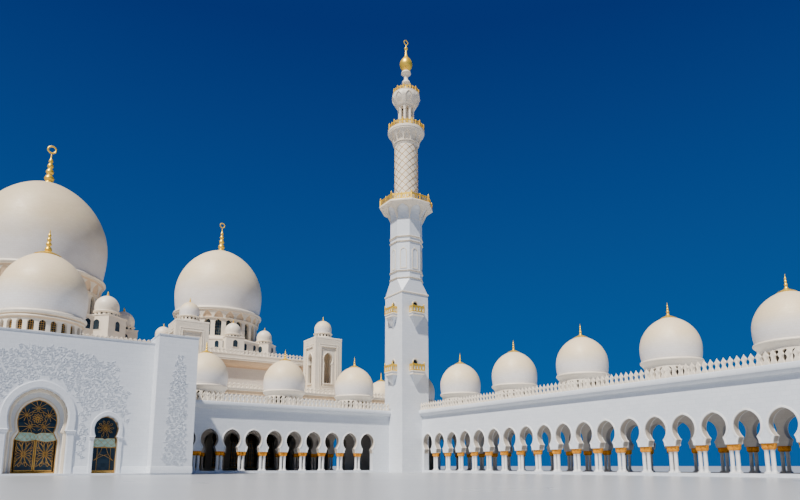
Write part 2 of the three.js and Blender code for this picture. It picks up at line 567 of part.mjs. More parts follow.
// Pavilion tower: square, hollow, with a keyhole window in each side and a small dome
function pavilionTower(northEdge) {
  const half = TOWER.side / 2;
  const wall = 0.9;
  const { foot, top, dome, domeTop } = TOWER;
  const shell = box(-half, half, -half, half, foot + GAP, top);
  const bore = box(-half + wall, half - wall, -half + wall, half - wall, foot - 1, top - 1);
  const rim = domeTop - dome * 1.6;
  const cap = turned([[0, top - EMBED], [dome * 1.1, top - EMBED], [dome * 1.1, top + 0.5],
    [dome * 0.95, top + 0.8], [dome * 0.95, rim - 0.2],
    ...domeOutline(dome, rim, domeTop, TURRET_BELLY, 3).slice(1), [0, domeTop + 1.1]], 10);
  const outline = keyholeDoor(TOWER_WINDOW, 0, [1, 1, 2], TOWER_WINDOW_FOOT);
  const frame = [[-2.05, 20.3], [2.05, 20.3], [2.05, 30.1], [-2.05, 30.1]];
  const cuts = [bore];
  for (let side = 0; side < 4; side++) {
    const turn = (side * Math.PI) / 2;
    cuts.push(upright(outline, half - wall - 0.4, half + 0.4).rotateZ(turn));
    cuts.push(upright(frame, half - 0.25, half + 0.4).rotateZ(turn));
  }
  return carve(fuse(shell, cap), ...cuts).translate(TOWER.x - half, northEdge + half, 0);
}

const building = new THREE.Group();
building.name = 'mosque';

function place(parent, name, geometry, material) {
  const mesh = new THREE.Mesh(closed(geometry), material);
  mesh.geometry.computeVertexNormals();
  mesh.name = name;
  parent.add(mesh);
  return mesh;
}

const FRONT_DETAIL = { arch: [1, 2, 3], sides: 6, plinthReach: 0.15 };
const BACK_DETAIL = { arch: [1, 1, 2], sides: 4, plinthReach: 0 };

// North arcade: its run is +X and its depth +Y
const northWing = new THREE.Group();
building.add(northWing);

// A row of arches placed as several stretches, each given as its first arch and its number of
// arches. The row runs from uStart to uEnd
function placeRow(parent, name, stretches, firstArch, uStart, uEnd, v0, detail) {
  stretches.forEach(([first, arches], i) => {
    const start = firstArch + first * BAY;
    const isFirst = i === 0;
    const isLast = i === stretches.length - 1;
    const u0 = isFirst ? uStart : start - BAY / 2;
    const u1 = isLast ? uEnd : start + (arches - 0.5) * BAY - GAP;
    const ends = [isFirst ? 'pier' : 'cut', isLast ? 'pier' : 'cut'];
    place(parent, `${name}_${i + 1}`, arcade(u0, u1, start, arches, v0, detail, ends), STONE);
  });
}

const northRowEnd = NORTH_END - END_WALL - GAP;
const backRow = GALLERY_DEPTH - WALL;
placeRow(northWing, 'north_front_arcade', [[0, 6], [6, 6], [12, 7]], NORTH_FIRST_ARCH,
  SHAFT_PROUD + GAP, northRowEnd, 0, FRONT_DETAIL);
placeRow(northWing, 'north_back_arcade', [[0, 7], [7, 7], [14, 8]], NORTH_FIRST_ARCH - 3 * BAY,
  GAP - GALLERY_DEPTH, northRowEnd, backRow, BACK_DETAIL);

const endWall = box(NORTH_END - END_WALL, NORTH_END, 0, GALLERY_DEPTH, FLOOR_TOP + GAP, WALL_TOP - GAP);
place(northWing, 'north_end_wall', endWall, STONE);

// Plain walls round the gallery where it runs on behind the corner, open towards the corner
function farGalleryWalls() {
  const west = NORTH_WEST_END;
  const east = -GALLERY_DEPTH;
  const outer = box(west, east, 0, GALLERY_DEPTH, FLOOR_TOP + GAP, WALL_TOP - GAP);
  const inner = box(west + WALL, east + 1, WALL, GALLERY_DEPTH - WALL, 0, WALL_TOP + 1);
  return carve(outer, inner);
}
place(northWing, 'far_gallery_walls', farGalleryWalls(), STONE);

function northRoof() {
  const front = along(roofSection(0, GALLERY_DEPTH, true, true), CORNER, NORTH_END);
  const corner = along(roofSection(0, GALLERY_DEPTH, false, true), NORTH_WEST_END, CORNER + EMBED);
  const crossWall = box(-GALLERY_DEPTH, WALL - GALLERY_DEPTH, 0, GALLERY_DEPTH, ROOF_TOP - EMBED,
    TERRACE_PARAPET);
  const domes = [...NORTH_DOMES, FAR_DOME_X].map((x) => smallDome(x, NORTH_DOME_Y));
  const hole = box(CORNER - GAP, SHAFT_PROUD + GAP, -SHAFT_PROUD - GAP, -CORNER + GAP, -1, SHAFT_TOP);
  return carve(fuse(front, corner, crossWall, ...domes), hole);
}
place(northWing, 'north_roof_with_domes', northRoof(), CREAM);

// West arcade: built with its run along +X, then turned so that the run is +Y, facing +X
const westWing = new THREE.Group();
westWing.rotation.z = Math.PI / 2;
building.add(westWing);

const westStretches = [[0, 5], [5, 5]];
placeRow(westWing, 'west_front_arcade', westStretches, WEST_FIRST_ARCH, WEST_BLOCK_END + GAP,
  -SHAFT_PROUD - GAP, 0, FRONT_DETAIL);
placeRow(westWing, 'west_inner_arcade', westStretches, WEST_FIRST_ARCH, WEST_BLOCK_END + GAP, -GAP,
  backRow, BACK_DETAIL);

function westRoof() {
  const start = WEST_BLOCK_END + GAP;
  const slab = along(roofSection(0, backRow - GAP, true, false), start, -GAP);
  const raised = box(start, -GAP, backRow - GAP - EMBED, GALLERY_DEPTH, WALL_TOP, TERRACE_PARAPET);
  const domes = WEST_DOMES.map((y) => smallDome(y, -WEST_DOME_X));
  const hole = box(-SHAFT_PROUD - GAP, -CORNER + GAP, -SHAFT_PROUD - GAP, -CORNER + GAP, -1, SHAFT_TOP);
  return carve(fuse(slab, raised, ...domes), hole);
}
place(westWing, 'west_roof_with_domes', westRoof(), CREAM);

// Minaret, about its own axis on the corner
const minaret = new THREE.Group();
const minaretAxis = (SHAFT_PROUD + CORNER) / 2;
minaret.position.set(minaretAxis, -minaretAxis, 0);
building.add(minaret);
place(minaret, 'minaret_square_shaft', minaretShaft(), STONE);
place(minaret, 'minaret_octagon_and_balcony', minaretOctagon(), STONE);
place(minaret, 'minaret_round_shaft_and_balcony', minaretRoundShaft(), STONE);
place(minaret, 'minaret_lantern', minaretLantern(), STONE);
place(minaret, 'minaret_finial', minaretFinial(), GOLD);

// Portal block
place(building, 'portal_wall', portalWall(), STONE);
place(building, 'portal_screen', portalScreen(), GLASS);
place(building, 'side_screen_north', sideScreen(1), GLASS);
place(building, 'side_screen_south', sideScreen(-1), GLASS);
place(building, 'pylon_north', pylon(1), STONE);
place(building, 'pylon_south', pylon(-1), STONE);
place(building, 'portal_roof', portalRoof(), STONE);

const leafPlane = FACADE_X - RECESS_DEPTH - 0.42;
for (const [name, side] of [['door_leaf_north', -1], ['door_leaf_south', 1]]) {
  const leaf = place(building, name, doorLeaf(side), DOOR);
  leaf.position.set(leafPlane, PORTAL_Y - side * LEAF_HINGE, 0);
}

// Prayer hall. The east wall has a window behind each pair of arches and the inner doorway, and
// the north and west walls have a row of windows
function windowsAlong(start, pitch, count) {
  return Array.from({ length: count }, (_, i) =>
    keyholeDoor(HALL_WINDOW, start + i * pitch, HALL_WINDOW_STEPS, HALL_WINDOW_FOOT));
}

const innerDoorway = keyholeDoor(PORTAL_SCREEN, PORTAL_Y, [1, 2, 3], 0);
const eastOpenings = [...windowsAlong(WEST_FIRST_ARCH + BAY / 2, BAY, 9), innerDoorway];
const eastWall = hallWall(HALL_SOUTH, HALL_NORTH, 0, WALL, eastOpenings);
place(building, 'hall_east_wall', turnedWest(eastWall, HALL_EAST), STONE);

const westWall = hallWall(HALL_SOUTH, HALL_NORTH, 0, WALL, windowsAlong(HALL_SOUTH + 9.5, 12.0, 7));
place(building, 'hall_west_wall', turnedWest(westWall, HALL_WEST + WALL), STONE);

const [innerWest, innerEast] = [HALL_WEST + WALL + GAP, HALL_EAST - WALL - GAP];
const northOpenings = windowsAlong(HALL_WEST + 9.0, 12.0, 5);
const northWall = hallWall(innerWest, innerEast, HALL_NORTH - WALL, HALL_NORTH, northOpenings);
place(building, 'hall_north_wall', northWall, STONE);
const southWall = hallWall(innerWest, innerEast, HALL_SOUTH, HALL_SOUTH + WALL, []);
place(building, 'hall_south_wall', southWall, STONE);

// One sheet of glass behind the windows of each wall
const GLASS_BACK = 0.25;
const [glassFoot, glassTop] = [0.6, 11.0];
const eastGlass = box(HALL_EAST - WALL - GLASS_BACK, innerEast, WEST_FIRST_ARCH, -8, glassFoot, glassTop);
place(building, 'hall_east_glass', eastGlass, GLASS);
const northGlass = box(HALL_WEST + 6, HALL_EAST - 5, HALL_NORTH - WALL - GLASS_BACK, HALL_NORTH - WALL - GAP,
  glassFoot, glassTop);
place(building, 'hall_north_glass', northGlass, GLASS);
const westGlass = box(innerWest, HALL_WEST + WALL + GLASS_BACK, HALL_SOUTH + 6, HALL_NORTH - 6,
  glassFoot, glassTop);
place(building, 'hall_west_glass', westGlass, GLASS);

function hallRoof() {
  const reach = CORNICE_REACH;
  const [x0, x1, y0, y1] = [HALL_WEST - reach, HALL_EAST + reach, HALL_SOUTH, HALL_NORTH + reach];
  const slab = box(x0, x1, y0, y1, HALL_WALL_TOP + GAP, HALL_ROOF_TOP - GAP);
  const eyes = [MAIN, FLANK].map((dome) => {
    const r = dome.base - 2.6;
    return turned([[0, 0], [r, 0], [r, 60], [0, 60]], 8, dome.x, dome.y);
  });
  return carve(slab, ...eyes);
}
place(building, 'hall_roof', hallRoof(), STONE);

const [terraceWest, terraceEast] = [HALL_EAST + GAP, -GALLERY_DEPTH - GAP];
const terraceRoof = box(terraceWest, terraceEast, WEST_BLOCK_END + GAP, -WALL - GAP, TERRACE_WALL_TOP,
  TERRACE_TOP);
place(building, 'terrace_roof', terraceRoof, STONE);
const terraceWall = box(terraceWest, terraceEast, -WALL, -GAP, FLOOR_TOP + GAP, TERRACE_PARAPET);
place(building, 'terrace_north_wall', terraceWall, STONE);

for (const [name, dome, drumRadius] of [['main', MAIN, 14.9], ['flank', FLANK, 12.1]]) {
  const foot = dome.baseTop + GAP;
  const wall = 1.1;
  place(building, `${name}_dome_base`, turretedBase(dome, drumRadius - wall, HALL_ROOF_TOP), STONE);
  place(building, `${name}_dome_drum`, windowedDrum(dome, foot, drumRadius, wall), STONE);
  place(building, `${name}_dome_shell`, domeShell(dome, 0.8, 6, 20), CREAM);
  place(building, `${name}_dome_finial`, finial(dome, name === 'main' ? 1.15 : 1), GOLD);
}
place(building, 'front_dome_drum', windowedDrum(FRONT, FRONT.foot, 7.1, 0.8), STONE);
place(building, 'front_dome_shell', domeShell(FRONT, 0.6, 5, 16), CREAM);
place(building, 'front_dome_finial', finial(FRONT, 0.62), GOLD);

TOWER.north.forEach((edge, i) => place(building, `pavilion_tower_${i + 1}`, pavilionTower(edge), STONE));

// One floor plate under the galleries, the portal block and the hall
function floorPlate() {
  const [blockSouth, blockNorth] = [PORTAL_Y - BLOCK_HALF, PORTAL_Y + BLOCK_HALF];
  const blockEast = FACADE_X + PYLON_PROUD;
  const plinth = FRONT_DETAIL.plinthReach;
  const [notchWest, notchEast] = [CORNER - GAP, SHAFT_PROUD + GAP];
  const [notchSouth, notchNorth] = [-SHAFT_PROUD - GAP, -CORNER + GAP];
  const back = GALLERY_DEPTH + plinth;
  const outline = [[HALL_WEST, HALL_SOUTH], [HALL_EAST, HALL_SOUTH], [HALL_EAST, blockSouth],
    [blockEast, blockSouth], [blockEast, blockNorth], [plinth, blockNorth], [plinth, notchSouth],
    [notchWest, notchSouth], [notchWest, notchNorth], [notchEast, notchNorth], [notchEast, -plinth],
    [NORTH_END, -plinth], [NORTH_END, back], [NORTH_WEST_END, back], [NORTH_WEST_END, 0], [HALL_EAST, 0],
    [HALL_EAST, HALL_NORTH], [HALL_WEST, HALL_NORTH]];
  return new THREE.ExtrudeGeometry(shapeOf(outline), { depth: FLOOR_TOP, bevelEnabled: false });
}
place(building, 'floor_plate', floorPlate(), STONE);

building.scale.setScalar(MODEL_MM_PER_METRE);
const west = HALL_WEST - CORNICE_REACH;
const north = GALLERY_DEPTH + CORNICE_REACH;
const middle = new THREE.Vector3((west + NORTH_END) / 2, (HALL_SOUTH + north) / 2, 0);
building.position.copy(middle.multiplyScalar(-MODEL_MM_PER_METRE));

export default building;
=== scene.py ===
"""Dressed visual model of a domed courtyard mosque at 1:10, built around its CAD frame.

Sizes are metres of the real building, as in the part's own source, and to_frame turns
them into the frame.
"""

import json
import logging
import math
from dataclasses import dataclass
from enum import Enum
from functools import lru_cache
from typing import Callable, Iterable, Sequence

import bpy
import numpy as np
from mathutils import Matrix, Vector


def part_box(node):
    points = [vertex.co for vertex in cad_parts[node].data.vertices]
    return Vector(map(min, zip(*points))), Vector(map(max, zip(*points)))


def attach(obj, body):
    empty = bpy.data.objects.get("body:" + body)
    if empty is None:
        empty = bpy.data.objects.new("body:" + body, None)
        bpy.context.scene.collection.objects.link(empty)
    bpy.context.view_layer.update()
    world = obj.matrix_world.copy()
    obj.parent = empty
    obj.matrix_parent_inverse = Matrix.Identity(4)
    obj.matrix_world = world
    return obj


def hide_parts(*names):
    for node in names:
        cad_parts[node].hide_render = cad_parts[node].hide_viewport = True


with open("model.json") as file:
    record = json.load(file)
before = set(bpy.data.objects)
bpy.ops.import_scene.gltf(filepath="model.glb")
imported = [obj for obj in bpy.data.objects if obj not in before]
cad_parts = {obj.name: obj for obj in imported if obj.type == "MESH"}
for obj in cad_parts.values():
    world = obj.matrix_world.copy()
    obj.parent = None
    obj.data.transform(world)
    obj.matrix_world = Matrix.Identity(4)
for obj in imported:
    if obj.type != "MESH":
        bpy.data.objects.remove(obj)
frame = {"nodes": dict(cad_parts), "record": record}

LOG = logging.getLogger("mosque")
Array = np.ndarray
SCALE = 10.0
HALL_WEST, HALL_EAST, HALL_SOUTH, HALL_NORTH = -99.0, -30.0, -98.5, -4.6
ORIGIN = np.array(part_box("floor_plate")[0]) - np.array([HALL_WEST, HALL_SOUTH, 0.0]) / SCALE


def to_frame(points: Array) -> Array:
    """Points of the real building, in metres, as points of the 1:10 model in the frame."""
    return points / SCALE + ORIGIN


# Surfaces

@dataclass
class Surface:
    """Points with the quads and triangles on them.

    Args:
        points: (n, 3) places, in real metres.
        quads: (m, 4) indices of points.
        triangles: (k, 3) indices of points.
    """

    points: Array
    quads: Array
    triangles: Array

    @classmethod
    def join(cls, parts: Iterable["Surface"]) -> "Surface":
        """All the parts as one surface, with the later ones' indices moved up.

        Args:
            parts: the surfaces.

        Returns:
            The one surface.
        """
        parts = list(parts)
        starts = np.cumsum([0] + [len(part.points) for part in parts])
        return cls(
            np.concatenate([part.points for part in parts]),
            np.concatenate([part.quads + start for part, start in zip(parts, starts)]),
            np.concatenate([part.triangles + start for part, start in zip(parts, starts)]),
        )

    def mapped(self, places: Callable[[Array], Array]) -> "Surface":
        """The surface with its points sent through a function of the whole array."""
        return Surface(places(self.points), self.quads, self.triangles)

    def moved(self, x: float = 0.0, y: float = 0.0, z: float = 0.0) -> "Surface":
        """The surface shifted by an offset."""
        return Surface(self.points + np.array([x, y, z]), self.quads, self.triangles)

    def turned(self, angle: float) -> "Surface":
        """The surface turned about the Z axis."""
        return self.mapped(lambda points: points @ spin(angle).T)

    def flipped(self) -> "Surface":
        """The surface with its faces the other way round."""
        return Surface(self.points, self.quads[:, ::-1], self.triangles[:, ::-1])

    def repeated(self, offsets: Array, turns: Array | None = None) -> "Surface":
        """Copies at (k, 3) offsets, each first turned about Z by its own angle.

        Args:
            offsets: where the copies go.
            turns: (k,) angles, or None for no turn.

        Returns:
            One surface with k times the faces.
        """
        count = len(offsets)
        base = np.broadcast_to(self.points, (count, *self.points.shape))
        if turns is not None:
            base = np.einsum("kij,knj->kni", np.stack([spin(turn) for turn in turns]), base)
        points = (base + offsets[:, None, :]).reshape(-1, 3)
        starts = (np.arange(count) * len(self.points))[:, None, None]
        return Surface(points, (self.quads + starts).reshape(-1, 4), (self.triangles + starts).reshape(-1, 3))

    def around(self, count: int, phase: float = 0.0) -> "Surface":
        """Copies turned about the Z axis by equal angles, the first by the phase."""
        return self.repeated(np.zeros((count, 3)), phase + np.arange(count) * 2 * np.pi / count)

    def sealed(self) -> "Surface":
        """The surface with doubled points merged, collapsed faces dropped and its faces outwards.

        The signed volume is a sixth of the sum of a . (b x c) over the triangles, and it is
        negative where the faces point inwards.

        Returns:
            The sealed surface.
        """
        _, first, inverse = np.unique(
            np.round(self.points * 2e3).astype(np.int64), axis=0, return_index=True, return_inverse=True)
        inverse = inverse.reshape(-1)
        quads, triangles = inverse[self.quads], inverse[self.triangles]
        for corner in range(4):
            collapsed = quads[:, corner] == quads[:, (corner + 1) % 4]
            triangles = np.vstack([triangles, np.delete(quads[collapsed], corner, axis=1)])
            quads = quads[~collapsed]
        whole = (triangles[:, 0] != triangles[:, 1]) & (triangles[:, 1] != triangles[:, 2])
        triangles = triangles[whole & (triangles[:, 2] != triangles[:, 0])]
        surface = Surface(self.points[first], quads, triangles)
        halves = np.vstack([triangles, quads[:, [0, 1, 2]], quads[:, [0, 2, 3]]])
        a, b, c = (surface.points[halves[:, k]] for k in range(3))
        return surface if np.einsum("ij,ij->", a, np.cross(b, c)) >= 0 else surface.flipped()


def spin(angle: float) -> Array:
    """Rotation matrix about the Z axis."""
    return np.array([[math.cos(angle), -math.sin(angle), 0.0], [math.sin(angle), math.cos(angle), 0.0],
                     [0.0, 0.0, 1.0]])


def loft(loops: Array, ring: bool = False) -> Surface:
    """Skin over closed loops of points: quad (i, j) joins loops i and i+1 at points j and j+1.

    Args:
        loops: (loops, points, 3).
        ring: joins the last loop to the first. Otherwise a fan to its mean point closes each end.

    Returns:
        The closed surface, faces outwards.
    """
    count, size, _ = loops.shape
    index = np.arange(count * size).reshape(count, size)
    here, above = (index, np.roll(index, -1, axis=0)) if ring else (index[:-1], index[1:])
    quads = np.stack([here, np.roll(here, -1, 1), np.roll(above, -1, 1), above], -1).reshape(-1, 4)
    points = loops.reshape(-1, 3)
    triangles = np.empty((0, 3), int)
    if not ring:
        points = np.vstack([points, loops[0].mean(0), loops[-1].mean(0)])
        low, high = index[0], index[-1]
        foot = np.stack([np.roll(low, -1), low, np.full(size, count * size)], -1)
        head = np.stack([high, np.roll(high, -1), np.full(size, count * size + 1)], -1)
        triangles = np.vstack([foot, head])
    return Surface(points, quads, triangles).sealed()


def lathe(profile: Array, sides: int, ring: bool = False, phase: float = 0.0) -> Surface:
    """Turned body: (r cos a, r sin a, z) over the profile's (r, z) and equal angles a.

    Args:
        profile: (n, 2) radii and heights.
        sides: number of angles.
        ring: the profile is a closed section of a ring.
        phase: turn of the first angle.

    Returns:
        The closed surface.
    """
    profile = np.asarray(profile, float)
    angle = np.arange(sides) * 2 * np.pi / sides + phase
    radius = np.repeat(profile[:, :1], sides, 1)
    height = np.repeat(profile[:, 1:], sides, 1)
    return loft(np.stack([radius * np.cos(angle), radius * np.sin(angle), height], -1), ring)


def smooth(points: Sequence[Sequence[float]], steps: int = 4) -> Array:
    """Catmull-Rom curve through control points, each span a cubic in t with the neighbours' slopes.

    Args:
        points: the control points.
        steps: points on each span.

    Returns:
        The curve's points, the last control point too.
    """
    control = np.asarray(points, float)
    padded = np.vstack([2 * control[0] - control[1], control, 2 * control[-1] - control[-2]])
    p0, p1, p2, p3 = (padded[k:len(padded) - 3 + k, None, :] for k in range(4))
    t = (np.arange(steps) / steps)[None, :, None]
    curve = 0.5 * (2 * p1 + (p2 - p0) * t + (2 * p0 - 5 * p1 + 4 * p2 - p3) * t ** 2
                   + (3 * p1 - p0 - 3 * p2 + p3) * t ** 3)
    return np.vstack([curve.reshape(-1, control.shape[1]), control[-1]])


def sweep(path: Array, section: Array, closed: bool = False) -> Surface:
    """Section carried along a plane path: path point + mitred normal x section[0], section[1].

    The normal of a segment is its direction turned left. At a corner the two normals' mean is
    drawn out by one over the cosine of half the turn.

    Args:
        path: (n, 2).
        section: (m, 2) offsets along the normal and across the plane, a closed loop.
        closed: the path closes on itself.

    Returns:
        The surface, its columns path axis 1, path axis 2, across.
    """
    path, section = np.asarray(path, float), np.asarray(section, float)
    steps = np.roll(path, -1, 0) - path
    steps = steps if closed else steps[:-1]
    normals = np.stack([-steps[:, 1], steps[:, 0]], -1) / np.linalg.norm(steps, axis=1, keepdims=True)
    before = np.roll(normals, 1, 0) if closed else np.vstack([normals[:1], normals])
    after = normals if closed else np.vstack([normals, normals[-1:]])
    mean = before + after
    mean /= np.maximum(np.einsum("ij,ij->i", mean, after), 0.5)[:, None]
    plane = path[:, None, :] + mean[:, None, :] * section[None, :, :1]
    across = np.broadcast_to(section[None, :, 1:], (*plane.shape[:2], 1))
    return loft(np.concatenate([plane, across], -1), ring=closed)


def circle(radius: float, count: int) -> Array:
    """Points (r cos a, r sin a) at equal angles a."""
    angle = np.arange(count) * 2 * np.pi / count
    return radius * np.column_stack([np.cos(angle), np.sin(angle)])


def torus(radius: float, thick: float) -> Surface:
    """Ring that stands upright, its axis X: a round section carried along a circle."""
    return sweep(circle(radius, 32), circle(thick, 8), closed=True).mapped(lambda p: p[:, [2, 0, 1]])


def sheet(outline: Array, depth: float) -> Array:
    """An outline of (run, height) at a depth, its columns run, depth and height."""
    return np.column_stack([outline[:, 0], np.full(len(outline), depth), outline[:, 1]])


def pierced(outer: Array, inner: Array, front: float, back: float) -> Surface:
    """Plate between two outlines of (run, height), from depth front to back."""
    return loft(np.stack([sheet(outer, front), sheet(inner, front), sheet(inner, back), sheet(outer, back)]),
                ring=True)


def boxed(outline: Array, centre: Sequence[float], low: Sequence[float], high: Sequence[float]) -> Array:
    """The points of an outline sent out from a centre to the edge of a rectangle.

    Each direction is stretched by the smaller of the two ratios that reach a side, and the points
    nearest the four corners take their places.

    Args:
        outline: points of (run, height).
        centre: the point they are sent out from.
        low: lower corner of the rectangle.
        high: its upper corner.

    Returns:
        As many points on the rectangle's edge.
    """
    centre, low, high = (np.asarray(value, float) for value in (centre, low, high))
    reach = outline - centre
    limit = np.where(reach > 0, high - centre, centre - low)
    edge = centre + reach * (limit / np.maximum(np.abs(reach), 1e-6)).min(1)[:, None]
    for corner in ((low[0], low[1]), (high[0], low[1]), (high[0], high[1]), (low[0], high[1])):
        edge[np.argmin(np.linalg.norm(edge - corner, axis=1))] = corner
    return edge


def slab(low: Sequence[float], high: Sequence[float], edge: float = 0.02) -> Surface:
    """Block with its upright and level edges eased by a narrow chamfer.

    Args:
        low: lower corner.
        high: upper corner.
        edge: width of the chamfer.

    Returns:
        The block.
    """
    (x0, y0, z0), (x1, y1, z1) = low, high
    e = edge
    plan = np.array([[x0 + e, y0], [x1 - e, y0], [x1, y0 + e], [x1, y1 - e], [x1 - e, y1], [x0 + e, y1],
                     [x0, y1 - e], [x0, y0 + e]])
    middle = np.array([(x0 + x1) / 2, (y0 + y1) / 2])
    size = np.array([x1 - x0, y1 - y0])
    inner = middle + (plan - middle) * (1 - 2 * e / size)
    heights = ((inner, z0), (plan, z0 + e), (plan, z1 - e), (inner, z1))
    return loft(np.stack([np.column_stack([loop, np.full(8, z)]) for loop, z in heights]))


@dataclass(frozen=True)
class Facade:
    """A wall's face. Its run, its distance outwards and its height become plan and height.

    Args:
        corner: plan point of run 0 on the face.
        along: unit plan direction of the run.
        outward: unit plan direction out of the wall.
    """

    corner: tuple[float, float]
    along: tuple[float, float]
    outward: tuple[float, float]

    def place(self, surface: Surface) -> Surface:
        """The surface on the building, turned outwards again where the axes mirror it.

        Args:
            surface: columns run, distance outwards and height.

        Returns:
            The surface in plan and height.
        """
        run, out, height = surface.points.T
        plan = (np.array(self.corner) + run[:, None] * np.array(self.along)
                + out[:, None] * np.array(self.outward))
        placed = Surface(np.column_stack([plan, height]), surface.quads, surface.triangles)
        mirrored = self.along[0] * self.outward[1] - self.along[1] * self.outward[0] < 0
        return placed.flipped() if mirrored else placed

    def plate(self, outline: Array, front: float, back: float) -> Surface:
        """Flat plate within an outline of (run, height), between two distances outwards."""
        return self.place(loft(np.stack([sheet(outline, back), sheet(outline, front)])))

    def trim(self, path: Array, section: Array, closed: bool = False) -> Surface:
        """Moulding along a path of (run, height), its section (off the path, outwards)."""
        band = sweep(path, section, closed)
        return self.place(band.mapped(lambda points: points[:, [0, 2, 1]]).flipped())


def facing_south(y: float) -> Facade:
    """Face that looks to -Y, its run +X."""
    return Facade((0.0, y), (1.0, 0.0), (0.0, -1.0))


def facing_north(y: float) -> Facade:
    """Face that looks to +Y, its run +X."""
    return Facade((0.0, y), (1.0, 0.0), (0.0, 1.0))


def facing_east(x: float) -> Facade:
    """Face that looks to +X, its run +Y."""
    return Facade((x, 0.0), (0.0, 1.0), (1.0, 0.0))


def facing_west(x: float) -> Facade:
    """Face that looks to -X, its run +Y."""
    return Facade((x, 0.0), (0.0, 1.0), (-1.0, 0.0))


@dataclass(frozen=True)
class Keyhole:
    """Keyhole arch: feet that lean in to a cusp, a swell to the widest point and a pointed crown.

    Args:
        foot: half its width at the foot.
        foot_z: height of the foot.
        pinch: half its width at the cusp.
        cusp_z: height of the cusp.
        round: half its width where it is widest.
        round_z: height where it is widest.
        apex_z: height of the crown's point.
    """

    foot: float
    foot_z: float
    pinch: float
    cusp_z: float
    round: float
    round_z: float
    apex_z: float

    def side(self, steps: int) -> Array:
        """Right half from the foot to below the apex.

        The flare is quadratic in height, the swell a quarter of an ellipse about the widest
        point, and the crown an arc of radius (round^2 + rise^2) / (2 round).

        Args:
            steps: points on half the crown.

        Returns:
            Points of (run, height), from the foot up.
        """
        t = np.linspace(0, 1, max(2, steps // 3), endpoint=False)
        flare = np.column_stack([self.foot + (self.pinch - self.foot) * t ** 2,
                                 self.foot_z + (self.cusp_z - self.foot_z) * t])
        start = math.acos(self.pinch / self.round)
        angle = -start * (1 - np.linspace(0, 1, max(3, steps // 2), endpoint=False))
        height = (self.round_z - self.cusp_z) / math.sin(start)
        swell = np.column_stack([self.round * np.cos(angle), self.round_z + height * np.sin(angle)])
        rise = self.apex_z - self.round_z
        radius = (self.round ** 2 + rise ** 2) / (2 * self.round)
        bend = math.asin(min(1.0, rise / radius)) * np.linspace(0, 1, steps, endpoint=False)
        crown = np.column_stack([self.round - radius + radius * np.cos(bend),
                                 self.round_z + radius * np.sin(bend)])
        return np.vstack([flare, swell, crown])

    def path(self, centre: float = 0.0, steps: int = 9, floor: float | None = None,
             lift: float = 0.0) -> Array:
        """Open path from the right foot over the apex to the left, so its left normal points in.

        Args:
            centre: run of the arch's middle.
            steps: points on half the crown.
            floor: height that the path goes down to, or None to end at the feet.
            lift: added to all the arch's heights.

        Returns:
            Points of (run, height).
        """
        right = self.side(steps) + np.array([0.0, lift])
        left = right[::-1] * np.array([-1.0, 1.0])
        path = np.vstack([right, [[0.0, self.apex_z + lift]], left])
        if floor is not None:
            path = np.vstack([[[self.foot, floor]], path, [[-self.foot, floor]]])
        return path + np.array([centre, 0.0])


# Finishes

class Value:
    """A number from a node, on which Python arithmetic adds Math nodes."""

    def __init__(self, recipe: "Recipe", socket: bpy.types.NodeSocket) -> None:
        """Keeps the tree and the socket that carries the number."""
        self.recipe = recipe
        self.socket = socket

    def math(self, operation: str, *others: "Value | float") -> "Value":
        """A Math node on this value and others."""
        return self.recipe.value("ShaderNodeMath", {"operation": operation}, dict(enumerate([self, *others])))

    def __add__(self, other: "Value | float") -> "Value":
        """Sum."""
        return self.math("ADD", other)

    def __radd__(self, other: float) -> "Value":
        """Sum, the number first."""
        return self.math("ADD", other)

    def __sub__(self, other: "Value | float") -> "Value":
        """Difference."""
        return self.math("SUBTRACT", other)

    def __mul__(self, other: "Value | float") -> "Value":
        """Product."""
        return self.math("MULTIPLY", other)

    def __abs__(self) -> "Value":
        """Size without its sign."""
        return self.math("ABSOLUTE")

    def floor(self) -> "Value":
        """Whole number below."""
        return self.math("FLOOR")

    def fraction(self) -> "Value":
        """Part after the point."""
        return self.math("FRACT")

    def ramp(self, low: float, high: float) -> "Value":
        """Smooth step from 0 at low to 1 at high."""
        return self.recipe.value("ShaderNodeMapRange", {"interpolation_type": "SMOOTHSTEP"},
                                 {"Value": self, "From Min": low, "From Max": high})


